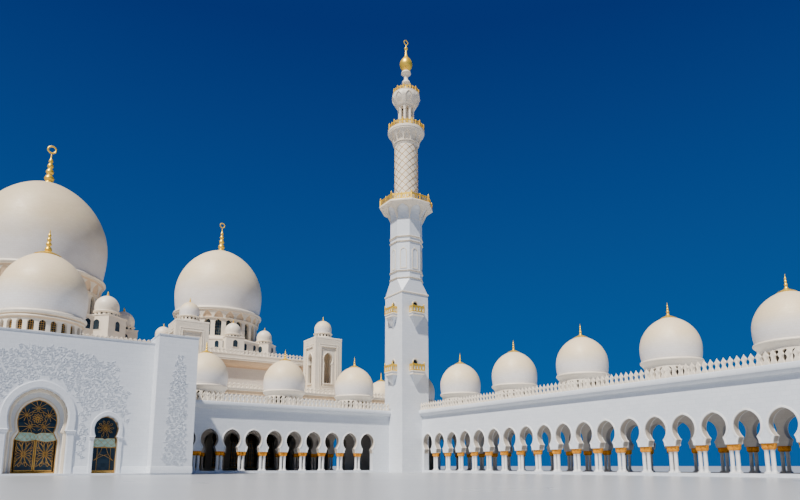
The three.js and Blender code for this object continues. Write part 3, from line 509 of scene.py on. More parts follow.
class Recipe:
    """One material's nodes around its Principled shader."""

    def __init__(self, name: str) -> None:
        """Starts the material with its shader and output.

        Args:
            name: of the material.
        """
        self.material = bpy.data.materials.new(name)
        self.material.use_nodes = True
        self.tree = self.material.node_tree
        self.tree.nodes.clear()
        self.shader = self.node("ShaderNodeBsdfPrincipled")
        self.node("ShaderNodeOutputMaterial", inputs={"Surface": self.shader.outputs[0]})

    def node(self, kind: str, settings: dict | None = None, inputs: dict | None = None) -> bpy.types.Node:
        """Adds a node, sets its settings first and then its sockets.

        Args:
            kind: the node's type.
            settings: attributes, such as a Math node's operation.
            inputs: socket name or number to a Value, a socket, a number or a colour.

        Returns:
            The node.
        """
        node = self.tree.nodes.new(kind)
        for key, setting in (settings or {}).items():
            setattr(node, key, setting)
        for key, given in (inputs or {}).items():
            self.feed(node.inputs[key], given)
        return node

    def feed(self, socket: bpy.types.NodeSocket, given: object) -> None:
        """Links a Value or a socket, or sets a number or a colour on the socket itself.

        Args:
            socket: an input.
            given: what it takes.
        """
        if isinstance(given, Value):
            given = given.socket
        if isinstance(given, bpy.types.NodeSocket):
            self.tree.links.new(given, socket)
        elif isinstance(given, tuple) and socket.type == "RGBA":
            socket.default_value = (*given, 1.0)
        else:
            socket.default_value = given

    def value(self, kind: str, settings: dict | None = None, inputs: dict | None = None) -> Value:
        """A node's first output as a Value."""
        return Value(self, self.node(kind, settings, inputs).outputs[0])

    def axes(self) -> tuple[Value, Value, Value]:
        """Object coordinates x, y and z, in metres of the model."""
        split = self.node("ShaderNodeSeparateXYZ", inputs={0: self.place()})
        return tuple(Value(self, split.outputs[k]) for k in range(3))

    def place(self) -> bpy.types.NodeSocket:
        """The object coordinates' socket."""
        return self.node("ShaderNodeTexCoord").outputs["Object"]

    def noise(self, scale: float, detail: float = 3.0, stretch: tuple = (1.0, 1.0, 1.0)) -> Value:
        """Fractal noise 0..1 on the object coordinates, stretched by a factor on each axis.

        Args:
            scale: of the noise.
            detail: its octaves.
            stretch: factor on each axis.

        Returns:
            The noise.
        """
        vector = self.node("ShaderNodeVectorMath", {"operation": "MULTIPLY"}, {0: self.place(), 1: stretch})
        return self.value("ShaderNodeTexNoise", inputs={"Vector": vector.outputs[0], "Scale": scale,
                                                        "Detail": detail})

    def mix(self, factor: Value, low: object, high: object) -> bpy.types.NodeSocket:
        """Colour between two colours."""
        node = self.node("ShaderNodeMix", {"data_type": "RGBA"}, {0: factor, 6: low, 7: high})
        return node.outputs[2]

    def bump(self, height: Value, distance: float) -> bpy.types.NodeSocket:
        """Normal of a relief whose height is the value times the distance in metres."""
        return self.node("ShaderNodeBump", inputs={"Height": height, "Distance": distance}).outputs[0]

    def finish(self, **sockets: object) -> bpy.types.Material:
        """Feeds the shader's sockets, named with _ for a space, and returns the material.

        Args:
            sockets: what each of the shader's sockets takes.

        Returns:
            The material.
        """
        for key, given in sockets.items():
            self.feed(self.shader.inputs[key.replace("_", " ")], given)
        return self.material


Colour = tuple[float, float, float]


@dataclass(frozen=True)
class Masonry:
    """Polished stone panels in courses with thin joints and slight changes of tint."""

    name: str
    light: Colour
    dark: Colour
    panel: float = 0.12
    course: float = 0.06
    roughness: float = 0.42

    @lru_cache(maxsize=None)
    def material(self) -> bpy.types.Material:
        """Courses on z and panels on x + y, so they follow walls along both axes.

        Returns:
            The finish's material.
        """
        recipe = Recipe(self.name)
        x, y, z = recipe.axes()
        spot = recipe.node("ShaderNodeCombineXYZ", inputs={0: x + y, 1: z}).outputs[0]
        bricks = recipe.node("ShaderNodeTexBrick", inputs={
            "Vector": spot, "Color1": (0.0, 0.0, 0.0), "Color2": (1.0, 1.0, 1.0), "Mortar": (0.5, 0.5, 0.5),
            "Scale": 1.0, "Mortar Size": 0.0011, "Mortar Smooth": 0.3, "Bias": 0.0,
            "Brick Width": self.panel, "Row Height": self.course})
        tint = Value(recipe, bricks.outputs["Color"])
        joint = Value(recipe, bricks.outputs["Fac"])
        cloud = recipe.noise(1.3, 4.0)
        grain = recipe.noise(55.0, 3.0)
        share = tint * 0.34 + cloud.ramp(0.32, 0.68) * 0.36 + grain.ramp(0.3, 0.7) * 0.3
        stone = recipe.mix(share, self.light, self.dark)
        grey = tuple(channel * 0.74 for channel in self.dark)
        return recipe.finish(
            Base_Color=recipe.mix(joint * 0.55, stone, grey),
            Roughness=self.roughness + grain * 0.12,
            Normal=recipe.bump(grain * 0.25 - joint, 0.0007))


@dataclass(frozen=True)
class DomeStone:
    """Cream mosaic of a dome, its blocks in rings about its own axis, pale grey low down as painted shade and
    sky reflection.
    """

    name: str
    axis: tuple[float, float]
    course: float = 0.035
    blocks: int = 72
    rise: tuple[float, float] = (1.9, 2.1)
    light: Colour = (0.93, 0.77, 0.52)
    dark: Colour = (0.82, 0.66, 0.43)
    # pale and grey: painted shade and sky reflection, the colours of the dome's lower part below the rise
    pale: Colour = (0.90, 0.86, 0.82)
    grey: Colour = (0.77, 0.73, 0.70)

    @lru_cache(maxsize=None)
    def material(self) -> bpy.types.Material:
        """Rings from z over the course, and blocks from the angle about the axis.

        Each block's tint is white noise of its ring and its number, and a joint is where the
        fraction of the ring or of the block is near 0 or 1. The stone turns from a pale grey low
        on the dome, painted shade and sky reflection, to cream above, between the two heights of
        the rise, blurred by the clouds.

        Returns:
            The finish's material.
        """
        recipe = Recipe(self.name)
        x, y, z = recipe.axes()
        centre = to_frame(np.array([*self.axis, 0.0]))
        turn = (y - float(centre[1])).math("ARCTAN2", x - float(centre[0])) * (self.blocks / (2 * math.pi))
        ring = z * (1 / self.course)
        around = turn + ring.floor() * 0.5
        spot = recipe.node("ShaderNodeCombineXYZ", inputs={0: around.floor(), 1: ring.floor()}).outputs[0]
        tint = recipe.value("ShaderNodeTexWhiteNoise", {"noise_dimensions": "2D"}, {"Vector": spot})
        edge = abs(ring.fraction() - 0.5).ramp(0.44, 0.5)
        upright = abs(around.fraction() - 0.5).ramp(0.46, 0.5)
        joint = edge.math("MAXIMUM", upright)
        cloud = recipe.noise(1.1, 5.0, (1.0, 1.0, 2.2))
        grain = recipe.noise(70.0, 2.0)
        share = tint * 0.30 + cloud.ramp(0.3, 0.7) * 0.42 + grain * 0.28
        # Painted shade and sky reflection: pale grey below the rise, turning to cream above it.
        low, high = self.rise
        cream = (z + (cloud - 0.5) * ((high - low) * 0.5)).ramp(low, high)
        stone = recipe.mix(cream, recipe.mix(share, self.pale, self.grey),
                           recipe.mix(share, self.light, self.dark))
        return recipe.finish(
            Base_Color=recipe.mix(joint * 0.4, stone, tuple(channel * 0.8 for channel in self.dark)),
            Roughness=0.46 + tint * 0.08,
            Normal=recipe.bump(grain * 0.3 - joint, 0.0006))


@dataclass(frozen=True)
class Gilt:
    """Gilt or bronze with fine hammered dents and darker patches."""

    name: str
    light: Colour
    dark: Colour
    roughness: float = 0.3
    metallic: float = 0.85
    dents: float = 60.0

    @lru_cache(maxsize=None)
    def material(self) -> bpy.types.Material:
        """Two tints mixed by noise, with a bump of its finer part.

        Returns:
            The finish's material.
        """
        recipe = Recipe(self.name)
        dent = recipe.noise(self.dents, 3.0)
        wear = recipe.noise(9.0, 3.0)
        share = (dent * 0.55 + wear * 0.45).ramp(0.35, 0.7)
        return recipe.finish(
            Base_Color=recipe.mix(share, self.light, self.dark),
            Metallic=self.metallic,
            Roughness=self.roughness + wear * 0.14,
            Normal=recipe.bump(dent, 0.0012))


@dataclass(frozen=True)
class Glazing:
    """Glass with faint panes and dust."""

    name: str
    light: Colour
    dark: Colour
    roughness: float = 0.08
    pane: float = 0.06

    @lru_cache(maxsize=None)
    def material(self) -> bpy.types.Material:
        """Pane tints by white noise of the pane's row and column, dulled by noise.

        Returns:
            The finish's material.
        """
        recipe = Recipe(self.name)
        x, y, z = recipe.axes()
        column = ((x + y) * (1 / self.pane)).floor()
        row = (z * (1 / self.pane)).floor()
        spot = recipe.node("ShaderNodeCombineXYZ", inputs={0: column, 1: row}).outputs[0]
        tint = recipe.value("ShaderNodeTexWhiteNoise", {"noise_dimensions": "2D"}, {"Vector": spot})
        dust = recipe.noise(6.0, 4.0)
        return recipe.finish(
            Base_Color=recipe.mix(tint * 0.6 + dust * 0.4, self.light, self.dark),
            Roughness=self.roughness + dust * 0.12,
            Specular_IOR_Level=0.6)


@dataclass(frozen=True)
class Paving:
    """Pale polished floor of the studio."""

    name: str = "pale_floor"
    light: Colour = (0.49, 0.505, 0.52)
    dark: Colour = (0.43, 0.445, 0.465)

    @lru_cache(maxsize=None)
    def material(self) -> bpy.types.Material:
        """Two pale greys mixed by broad noise.

        Returns:
            The finish's material.
        """
        recipe = Recipe(self.name)
        cloud = recipe.noise(0.5, 3.0)
        return recipe.finish(Base_Color=recipe.mix(cloud, self.light, self.dark),
                             Roughness=0.24 + cloud * 0.1)


class Slot(Enum):
    """Material slots of the record."""

    WHITE = "white_stone"
    DOME = "dome_stone"
    GILT = "gilt"
    GLASS = "dark_glass"
    DOOR = "door_bronze"


WALL_STONE = Masonry("wall_stone", (0.77, 0.795, 0.83), (0.665, 0.70, 0.745))
TRIM_STONE = Masonry("trim_stone", (0.86, 0.78, 0.65), (0.76, 0.67, 0.54),
                     panel=0.2, course=0.1, roughness=0.4)
PALE_TRIM = Masonry("pale_trim", (0.84, 0.835, 0.82), (0.75, 0.745, 0.73),
                    panel=0.2, course=0.1, roughness=0.4)
# Warm stone of the hall and the terrace; on the galleries' back rows it is painted shade, the warm tone of
# their shaded faces.
HALL_STONE_AND_BACK_SHADE = Masonry("hall_stone_and_back_shade", (0.78, 0.70, 0.61), (0.68, 0.60, 0.51))
# Tan stone of the hollow curves under rims, cornices and parapets: painted shade, the warm tone of their
# shaded undersides.
SHADED_HOLLOW_STONE = Masonry("painted_shade_hollow_stone", (0.76, 0.58, 0.38), (0.66, 0.48, 0.30),
                       panel=0.2, course=0.1, roughness=0.5)
# Darker warm stone of the openings' linings and the portal's reveals: painted shade of the recesses.
SHADED_REVEAL_STONE = Masonry("painted_shade_reveal_stone", (0.56, 0.49, 0.41), (0.46, 0.40, 0.33),
                       panel=0.2, course=0.1, roughness=0.5)
ROOF_STONE = Masonry("roof_stone", (0.60, 0.58, 0.55), (0.52, 0.50, 0.47),
                     panel=0.1, course=0.1, roughness=0.6)
GOLD = Gilt("gold_leaf", (1.0, 0.70, 0.08), (0.78, 0.46, 0.03), roughness=0.34, metallic=0.6)
CAPITAL_GOLD = Gilt("capital_gold", (1.0, 0.46, 0.015), (0.62, 0.25, 0.008),
                    roughness=0.4, metallic=0.45, dents=90.0)
TRACERY_GOLD = Gilt("tracery_gold", (0.66, 0.41, 0.11), (0.42, 0.24, 0.05),
                    roughness=0.42, metallic=0.6, dents=90.0)
WINDOW_METAL = Gilt("window_metal", (0.20, 0.20, 0.17), (0.12, 0.12, 0.10),
                    roughness=0.45, metallic=0.5, dents=90.0)
DARK_GLASS = Glazing("window_glass", (0.045, 0.07, 0.085), (0.012, 0.02, 0.03))
AQUA_GLASS = Glazing("aqua_glass", (0.62, 0.80, 0.66), (0.24, 0.50, 0.42), roughness=0.2, pane=0.03)
SHADE = Masonry("shaded_recess", (0.15, 0.135, 0.115), (0.10, 0.09, 0.08),
                panel=0.2, course=0.1, roughness=0.7)
DOOR_METAL = Gilt("door_bronze", (0.20, 0.13, 0.05), (0.09, 0.06, 0.03), roughness=0.4, metallic=0.7)


def piece(name: str, surfaces: Iterable[Surface], finish: object, body: str = "building",
          replaces: Sequence[str] = (), crease: float = 38.0, at: Sequence[float] = (0.0, 0.0)) -> None:
    """Makes one object of surfaces, smooth but for edges sharper than the crease angle.

    The object stands at the origin, with its place in its mesh.

    Args:
        name: the piece's name.
        surfaces: its surfaces, in real metres.
        finish: a finish with a material method.
        body: the CAD body that it rides on.
        replaces: CAD nodes that it stands for.
        crease: degrees between faces above which an edge stays sharp.
        at: plan point of the axis that its surfaces are built about.
    """
    surface = Surface.join(surfaces).moved(*at)
    faces = np.concatenate([surface.quads.reshape(-1), surface.triangles.reshape(-1)])
    sizes = np.concatenate([np.full(len(surface.quads), 4), np.full(len(surface.triangles), 3)])
    mesh = bpy.data.meshes.new(name)
    mesh.vertices.add(len(surface.points))
    mesh.vertices.foreach_set("co", to_frame(surface.points).astype(np.float32).reshape(-1))
    mesh.loops.add(len(faces))
    mesh.loops.foreach_set("vertex_index", faces.astype(np.int32))
    mesh.polygons.add(len(sizes))
    mesh.polygons.foreach_set("loop_start", np.concatenate([[0], np.cumsum(sizes)[:-1]]).astype(np.int32))
    mesh.polygons.foreach_set("use_smooth", np.ones(len(sizes), bool))
    mesh.update(calc_edges=True)
    mesh.set_sharp_from_angle(angle=math.radians(crease))
    mesh.materials.append(finish.material())
    thing = bpy.data.objects.new(name, mesh)
    bpy.context.scene.collection.objects.link(thing)
    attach(thing, body)
    if replaces:
        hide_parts(*replaces)
    LOG.info("%s: %d faces", name, len(sizes))


# Domes

@dataclass(frozen=True)
class Dome:
    """A dome's place and shape.

    Args:
        x: of its axis.
        y: of its axis.
        radius: at its belly.
        belly: share of its height where it is widest.
        rim: height of its rim.
        top: height of its crown.
        tip: height of its finial's tip.
        peak: how far the upper arc's centre lies past the axis, over the radius.
    """

    x: float
    y: float
    radius: float
    belly: float
    rim: float
    top: float
    tip: float
    peak: float = 0.04

    def outline(self, steps: int = 28, swell: float = 0.0, foot: float = 0.0) -> Array:
        """Outline from the rim to the top as (radius, height).

        Below the belly the radius is R (0.95 + 0.05 sin(90 t)). Above it an arc whose centre lies
        past the axis by a small peak, r = (R + p) cos a - p, ends in a slight point.

        Args:
            steps: points above the belly.
            swell: added to the radius and the top.
            foot: lowers the first point below the rim.

        Returns:
            Points of (radius, height), from the rim up.
        """
        radius, top = self.radius + swell, self.top + swell
        belly_z = self.rim + (self.top - self.rim) * self.belly
        t = np.linspace(0, 1, 7, endpoint=False)
        below = np.column_stack([radius * (0.95 + 0.05 * np.sin(t * np.pi / 2)),
                                 self.rim + (belly_z - self.rim) * t])
        below[0, 1] -= foot
        peak = self.peak * radius
        bend = math.acos(peak / (radius + peak))
        angle = bend * np.linspace(0, 1, steps)
        above = np.column_stack([(radius + peak) * np.cos(angle) - peak,
                                 belly_z + (top - belly_z) * np.sin(angle) / math.sin(bend)])
        above[-1, 0] = 0.0
        return np.vstack([below, above])

    def rise(self, low: float, high: float) -> tuple[float, float]:
        """Heights in the frame at two shares of the way from the rim to the top.

        Args:
            low: share of the dome's height.
            high: the larger share.

        Returns:
            The two heights in the frame.
        """
        shares = np.array([low, high])
        heights = np.column_stack([np.zeros((2, 2)), self.rim + shares * (self.top - self.rim)])
        return tuple(float(height) for height in to_frame(heights)[:, 2])

    def cap(self, reach: float, swell: float, sides: int, lift: float) -> Surface:
        """Thin cap that follows the dome's crown out to a radius, with a rounded edge.

        Args:
            reach: radius of its edge.
            swell: distance off the dome.
            sides: faces around.
            lift: how much more it stands up at the middle, growing with the share of the reach.

        Returns:
            The closed cap.
        """
        outline = self.outline(80, swell)
        crown = outline[(outline[:, 0] < reach) & (outline[:, 1] > (self.rim + self.top) / 2)]
        level = crown[0, 1]
        edge = np.array([[0.0, level - 2 * swell], [reach - swell, level - 1.5 * swell],
                         [reach + swell * 0.4, level - swell], [reach + swell * 0.5, level - swell * 0.4]])
        raised = crown + np.column_stack([np.zeros(len(crown)), lift * (1 - crown[:, 0] / reach)])
        return lathe(np.vstack([edge, raised]), sides)


NORTH_DOME_Y, WEST_DOME_X = 6.7, -6.6
NORTH_DOMES = (-6.5, 10.5, 27.5, 44.4, 61.4, 78.4, -23.2)
WEST_DOMES = (-10.6, -27.6, -44.4)
SMALL_DOMES = (*((x, NORTH_DOME_Y) for x in NORTH_DOMES), *((WEST_DOME_X, y) for y in WEST_DOMES))
MAIN = Dome(-73.2, -72.5, radius=16.3, belly=0.3, rim=52.0, top=79.6, tip=91.0, peak=0.2)
FLANK = Dome(-73.2, -23.3, radius=13.2, belly=0.28, rim=48.0, top=69.6, tip=79.0, peak=0.22)
FRONT = Dome(-16.0, -73.0, radius=7.64, belly=0.3, rim=29.0, top=41.8, tip=46.6, peak=0.2)


def finial(foot: float, tip: float, width: float, ring: float = 0.0, sides: int = 20) -> list[Surface]:
    """Gold finial of stacked bulbs that shrink upwards, its profile a smooth curve through set points.

    Args:
        foot: height of the finial's foot.
        tip: height of the top.
        width: radius of the foot.
        ring: radius of the ring at the top, or 0 for a plain point.
        sides: faces around.

    Returns:
        The turned stem, and the ring where there is one.
    """
    head = tip - 2 * ring * 1.18
    points = np.array([[1.12, 0.0], [1.04, 0.03], [0.76, 0.06], [0.74, 0.09], [0.98, 0.14], [1.0, 0.18],
                       [0.78, 0.25], [0.5, 0.285], [0.52, 0.31], [0.78, 0.36], [0.8, 0.4], [0.6, 0.46],
                       [0.4, 0.49], [0.42, 0.51], [0.62, 0.56], [0.63, 0.59], [0.44, 0.65], [0.3, 0.675],
                       [0.46, 0.73], [0.46, 0.76], [0.26, 0.82], [0.2, 0.86], [0.15, 0.93], [0.06, 1.0]])
    profile = smooth(points * np.array([width, head - foot]) + np.array([0.0, foot]), 3)
    profile = np.vstack([[[0.0, foot]], profile, [[0.0, head]]])
    stem = lathe(profile, sides)
    return [stem, torus(ring, 0.25 * ring).moved(z=tip - ring * 1.17)] if ring else [stem]


def bent(surface: Surface, radius: float) -> Surface:
    """A flat strip of run, depth and height wrapped round the Z axis: angle = run / radius, and
    the distance from the axis is the radius plus the depth.

    Args:
        surface: columns run, depth and height.
        radius: of the cylinder.

    Returns:
        The bent surface.
    """
    def wrap(points: Array) -> Array:
        """The points round the axis."""
        angle, reach = points[:, 0] / radius, radius + points[:, 1]
        return np.column_stack([reach * np.cos(angle), reach * np.sin(angle), points[:, 2]])
    return surface.mapped(wrap).sealed()


def arch_outline(half: float, foot: float, spring: float, top: float, steps: int = 7,
                 power: float = 1.8) -> Array:
    """Closed outline of an arched opening of (run, height): upright sides and a crown whose half is
    width (1 - s^power) over the rise, s = 0..1, so that a higher power is rounder.

    Args:
        half: half the opening's width.
        foot: height of its sill.
        spring: height where its sides start to close.
        top: height of its apex.
        steps: points on half the arch.
        power: how full the arch is.

    Returns:
        Points of (run, height).
    """
    s = np.linspace(0, 1, steps) ** (1.8 / power)
    right = np.column_stack([half * (1 - s ** power), spring + (top - spring) * s])
    left = right[-2::-1] * np.array([-1.0, 1.0])
    feet = np.array([[-half, foot], [-half / 3, foot], [half / 3, foot], [half, foot]])
    return np.vstack([feet, right, left])


def arched_ring(radius: float, count: int, foot: float, head: float, openness: float, front: float,
                back: float, rise: float = 0.5, power: float = 1.8, margin: float = 0.06) -> Surface:
    """Ring of arched openings: one bay is a plate between its rectangle and its arch, bent round
    the axis and repeated.

    Args:
        radius: radius of the depth 0.
        count: bays.
        foot: height of the ring's foot.
        head: height of its top.
        openness: width of an opening over the bay's.
        front: outer depth from the radius.
        back: inner depth from the radius.
        rise: height of the crown over the opening's half width.
        power: roundness of the crown.
        margin: share of the height that is left under the openings.

    Returns:
        The ring about the Z axis.
    """
    pitch, height = 2 * np.pi * radius / count, head - foot
    half = pitch * openness / 2
    top = head - height * 0.096
    inner = arch_outline(half, foot + height * margin, top - half * (1 + rise), top, 7, power)
    outer = boxed(inner, (0.0, (foot + head) / 2), (-pitch / 2, foot), (pitch / 2, head))
    return bent(pierced(outer, inner, front, back), radius).around(count)


def leaning(ring: Surface, radius: float, low: float, high: float, reach: float, power: float) -> Surface:
    """A ring about the Z axis whose outside leans out as it rises.

    Points beyond the radius move outwards by the reach times a power of their share of the way
    from the low height to the high one.

    Args:
        ring: the upright ring.
        radius: distance from the axis beyond which points move.
        low: height at which the lean starts.
        high: height at which it is whole.
        reach: how far the top moves.
        power: how late it bends.

    Returns:
        The leaning ring.
    """
    def push(points: Array) -> Array:
        """The points moved out.

        Args:
            points: the ring's.

        Returns:
            The points moved outwards.
        """
        share = np.clip((points[:, 2] - low) / (high - low), 0, 1)
        distance = np.linalg.norm(points[:, :2], axis=1)
        outer = 1 + np.where(distance > radius, share ** power * reach / distance, 0)
        return np.column_stack([points[:, :2] * outer[:, None], points[:, 2]])
    return ring.mapped(push)


@dataclass
class GalleryDomes:
    """The ten domes on the gallery roofs, each on a ring of posts."""

    shape: Dome = Dome(0.0, 0.0, radius=4.42, belly=0.28, rim=16.9, top=23.9, tip=26.2, peak=0.17)
    foot: float = 13.4
    head: float = 15.96
    posts: int = 23

    def shell(self) -> Surface:
        """Smooth closed dome about its axis."""
        profile = self.shape.outline(26, 0.0, 0.05)
        return lathe(np.vstack([[[0.0, self.shape.rim - 0.05]], profile]), 72)

    def collar(self) -> Surface:
        """Flared collar with its roll: a hollow curve out from the posts, then a round lip.

        Returns:
            The moulding of one dome.
        """
        profile = smooth([[0.88, 15.86], [0.89, 16.0], [0.915, 16.2], [0.955, 16.42], [0.985, 16.54],
                          [0.99, 16.6], [1.01, 16.68], [1.015, 16.82], [1.0, 16.95], [0.97, 17.0],
                          [0.92, 17.0]], 3)
        section = np.vstack([profile, [[0.78, 16.9], [0.78, 15.86]]])
        return lathe(section * [self.shape.radius, 1.0], 72, ring=True)

    def colonnade(self) -> Surface:
        """Square posts with arched heads between a low plinth and the collar.

        Returns:
            The ring of one dome.
        """
        r = self.shape.radius
        ring = arched_ring(r * 0.88, self.posts, self.foot + 0.1, self.head, 0.6, 0.0, -0.42, 0.2, 2.4, 0.1)
        plinth = np.array([[0.76, -0.05], [0.92, -0.05], [0.92, 0.26], [0.9, 0.34], [0.76, 0.34]])
        return Surface.join([ring, lathe(plinth * [r, 1.0] + [0.0, self.foot], 72, ring=True)])

    def build(self) -> None:
        """Shells of mosaic, collars and colonnades, dark drums behind them and gold finials."""
        spots = np.array([[x, y, 0.0] for x, y in SMALL_DOMES])
        shape, low, high = self.shape, self.foot - 0.02, self.head + 0.04
        for number, place in enumerate(SMALL_DOMES, 1):
            # The mosaic's pale grey low down is painted shade and sky reflection.
            finish = DomeStone(f"gallery_dome_mosaic_{number}", place, rise=shape.rise(0.14, 0.6))
            piece(f"gallery_dome_{number}", [self.shell()], finish, at=place)
        white = Surface.join([self.collar(), self.colonnade()])
        piece("gallery_dome_collars", [white.repeated(spots)], TRIM_STONE)
        core = lathe([[0.0, low], [shape.radius * 0.7, low], [shape.radius * 0.7, high], [0.0, high]], 48)
        piece("gallery_dome_drums", [core.repeated(spots)], SHADE)
        gold = Surface.join([*finial(shape.top - 0.12, shape.tip, 0.27, sides=16),
                             shape.cap(1.15, 0.12, 24, 0.2)])
        piece("gallery_dome_finials", [gold.repeated(spots)], GOLD)


# Galleries

BAY, WALL, GALLERY_DEPTH = 4.243, 1.2, 14.0
PLINTH_TOP, CAPITAL_FOOT, CAPITAL_TOP = 0.45, 3.3, 4.08
COLUMN_SPREAD = 0.72
WALL_TOP, ROOF_TOP, CORNICE_REACH = 12.4, 13.4, 0.75
SHAFT_PROUD = 5.31
SHAFT_EDGE = SHAFT_PROUD + 0.02
GALLERY_ARCH = Keyhole(foot=1.36, foot_z=CAPITAL_TOP, pinch=1.14, cusp_z=4.93, round=1.72, round_z=6.3,
                       apex_z=8.32)
NORTH_FIRST_ARCH, WEST_FIRST_ARCH = 7.25, -49.0
NORTH_END, NORTH_WEST_END, WEST_BLOCK_END = 86.9, -32.0, -51.3
TERRACE_PARAPET = 17.9


@dataclass(frozen=True)
class ArchRow:
    """A row of keyhole arches on paired columns in one wall.

    Args:
        face: the front face of the wall.
        first: run of the first arch's middle.
        arches: how many.
        start: run at which the wall begins.
        end: run at which it ends.
        cover: how far the lining stands into the openings.
    """

    face: Facade
    first: float
    arches: int
    start: float
    end: float
    cover: float = 0.055

    def wall(self) -> Surface:
        """The pierced wall: one bay between its arch and its rectangle, repeated, with plain
        piers at both ends and the low plinth under all of it.

        Returns:
            The row's wall.
        """
        half = BAY / 2
        path = GALLERY_ARCH.path(steps=10)
        outer = boxed(path, (0.0, CAPITAL_TOP - 0.5), (-half, CAPITAL_TOP), (half, WALL_TOP))
        depths = ((outer, 0.0), (path, 0.0), (path, -WALL), (outer, -WALL))
        bay = self.face.place(loft(np.stack([sheet(outline, depth) for outline, depth in depths], axis=1)))
        last = self.first + (self.arches - 1) * BAY
        foot, low = GALLERY_ARCH.foot, PLINTH_TOP - 0.01
        blocks = (
            ((self.start, -WALL, CAPITAL_TOP), (self.first - half, 0.0, WALL_TOP)),
            ((last + half, -WALL, CAPITAL_TOP), (self.end, 0.0, WALL_TOP)),
            ((self.start, -WALL, low), (self.first - foot, 0.0, CAPITAL_TOP)),
            ((last + foot, -WALL, low), (self.end, 0.0, CAPITAL_TOP)),
            ((self.start, -WALL - 0.15, 0.25), (self.end, 0.15, PLINTH_TOP)),
        )
        solid = Surface.join([self.face.place(slab(near, far, 0.004)) for near, far in blocks])
        return Surface.join([self.along(bay), solid])

    def linings(self) -> Surface:
        """Smooth archivolts of every opening, front and back.

        Returns:
            The mouldings along the openings' edges.
        """
        c = self.cover
        front = np.array([[c, -0.12], [c, 0.035], [c - 0.035, 0.07], [-0.085, 0.07], [-0.105, 0.045],
                          [-0.2, 0.045], [-0.23, 0.0], [-0.23, -0.12]])
        back = (front * [1.0, -1.0] - [0.0, WALL])[::-1]
        rims = Surface.join([self.face.trim(GALLERY_ARCH.path(), section) for section in (front, back)])
        return self.along(rims)

    def soffits(self) -> Surface:
        """Linings of the openings between the archivolts.

        Returns:
            The linings.
        """
        c = self.cover - 0.012
        section = np.array([[c, -WALL + 0.1], [c, -0.1], [-0.05, -0.1], [-0.05, -WALL + 0.1]])
        return self.along(self.face.trim(GALLERY_ARCH.path(), section[::-1]))

    def along(self, surface: Surface) -> Surface:
        """Copies of one arch's surface at every arch."""
        return surface.repeated(self.offsets(self.first + np.arange(self.arches) * BAY))

    def offsets(self, runs: Array) -> Array:
        """Plan offsets of places along the run."""
        along = np.array([*self.face.along, 0.0])
        return runs[:, None] * along

    def column_places(self) -> Array:
        """Plan places of all the columns, on the middle of the wall.

        Returns:
            Plan point and height 0 of each column.
        """
        piers = self.first + (np.arange(self.arches - 1) + 0.5) * BAY
        runs = np.concatenate([piers - COLUMN_SPREAD / 2, piers + COLUMN_SPREAD / 2])
        middle = np.array([*self.face.corner, 0.0]) - np.array([*self.face.outward, 0.0]) * WALL / 2
        return self.offsets(runs) + middle


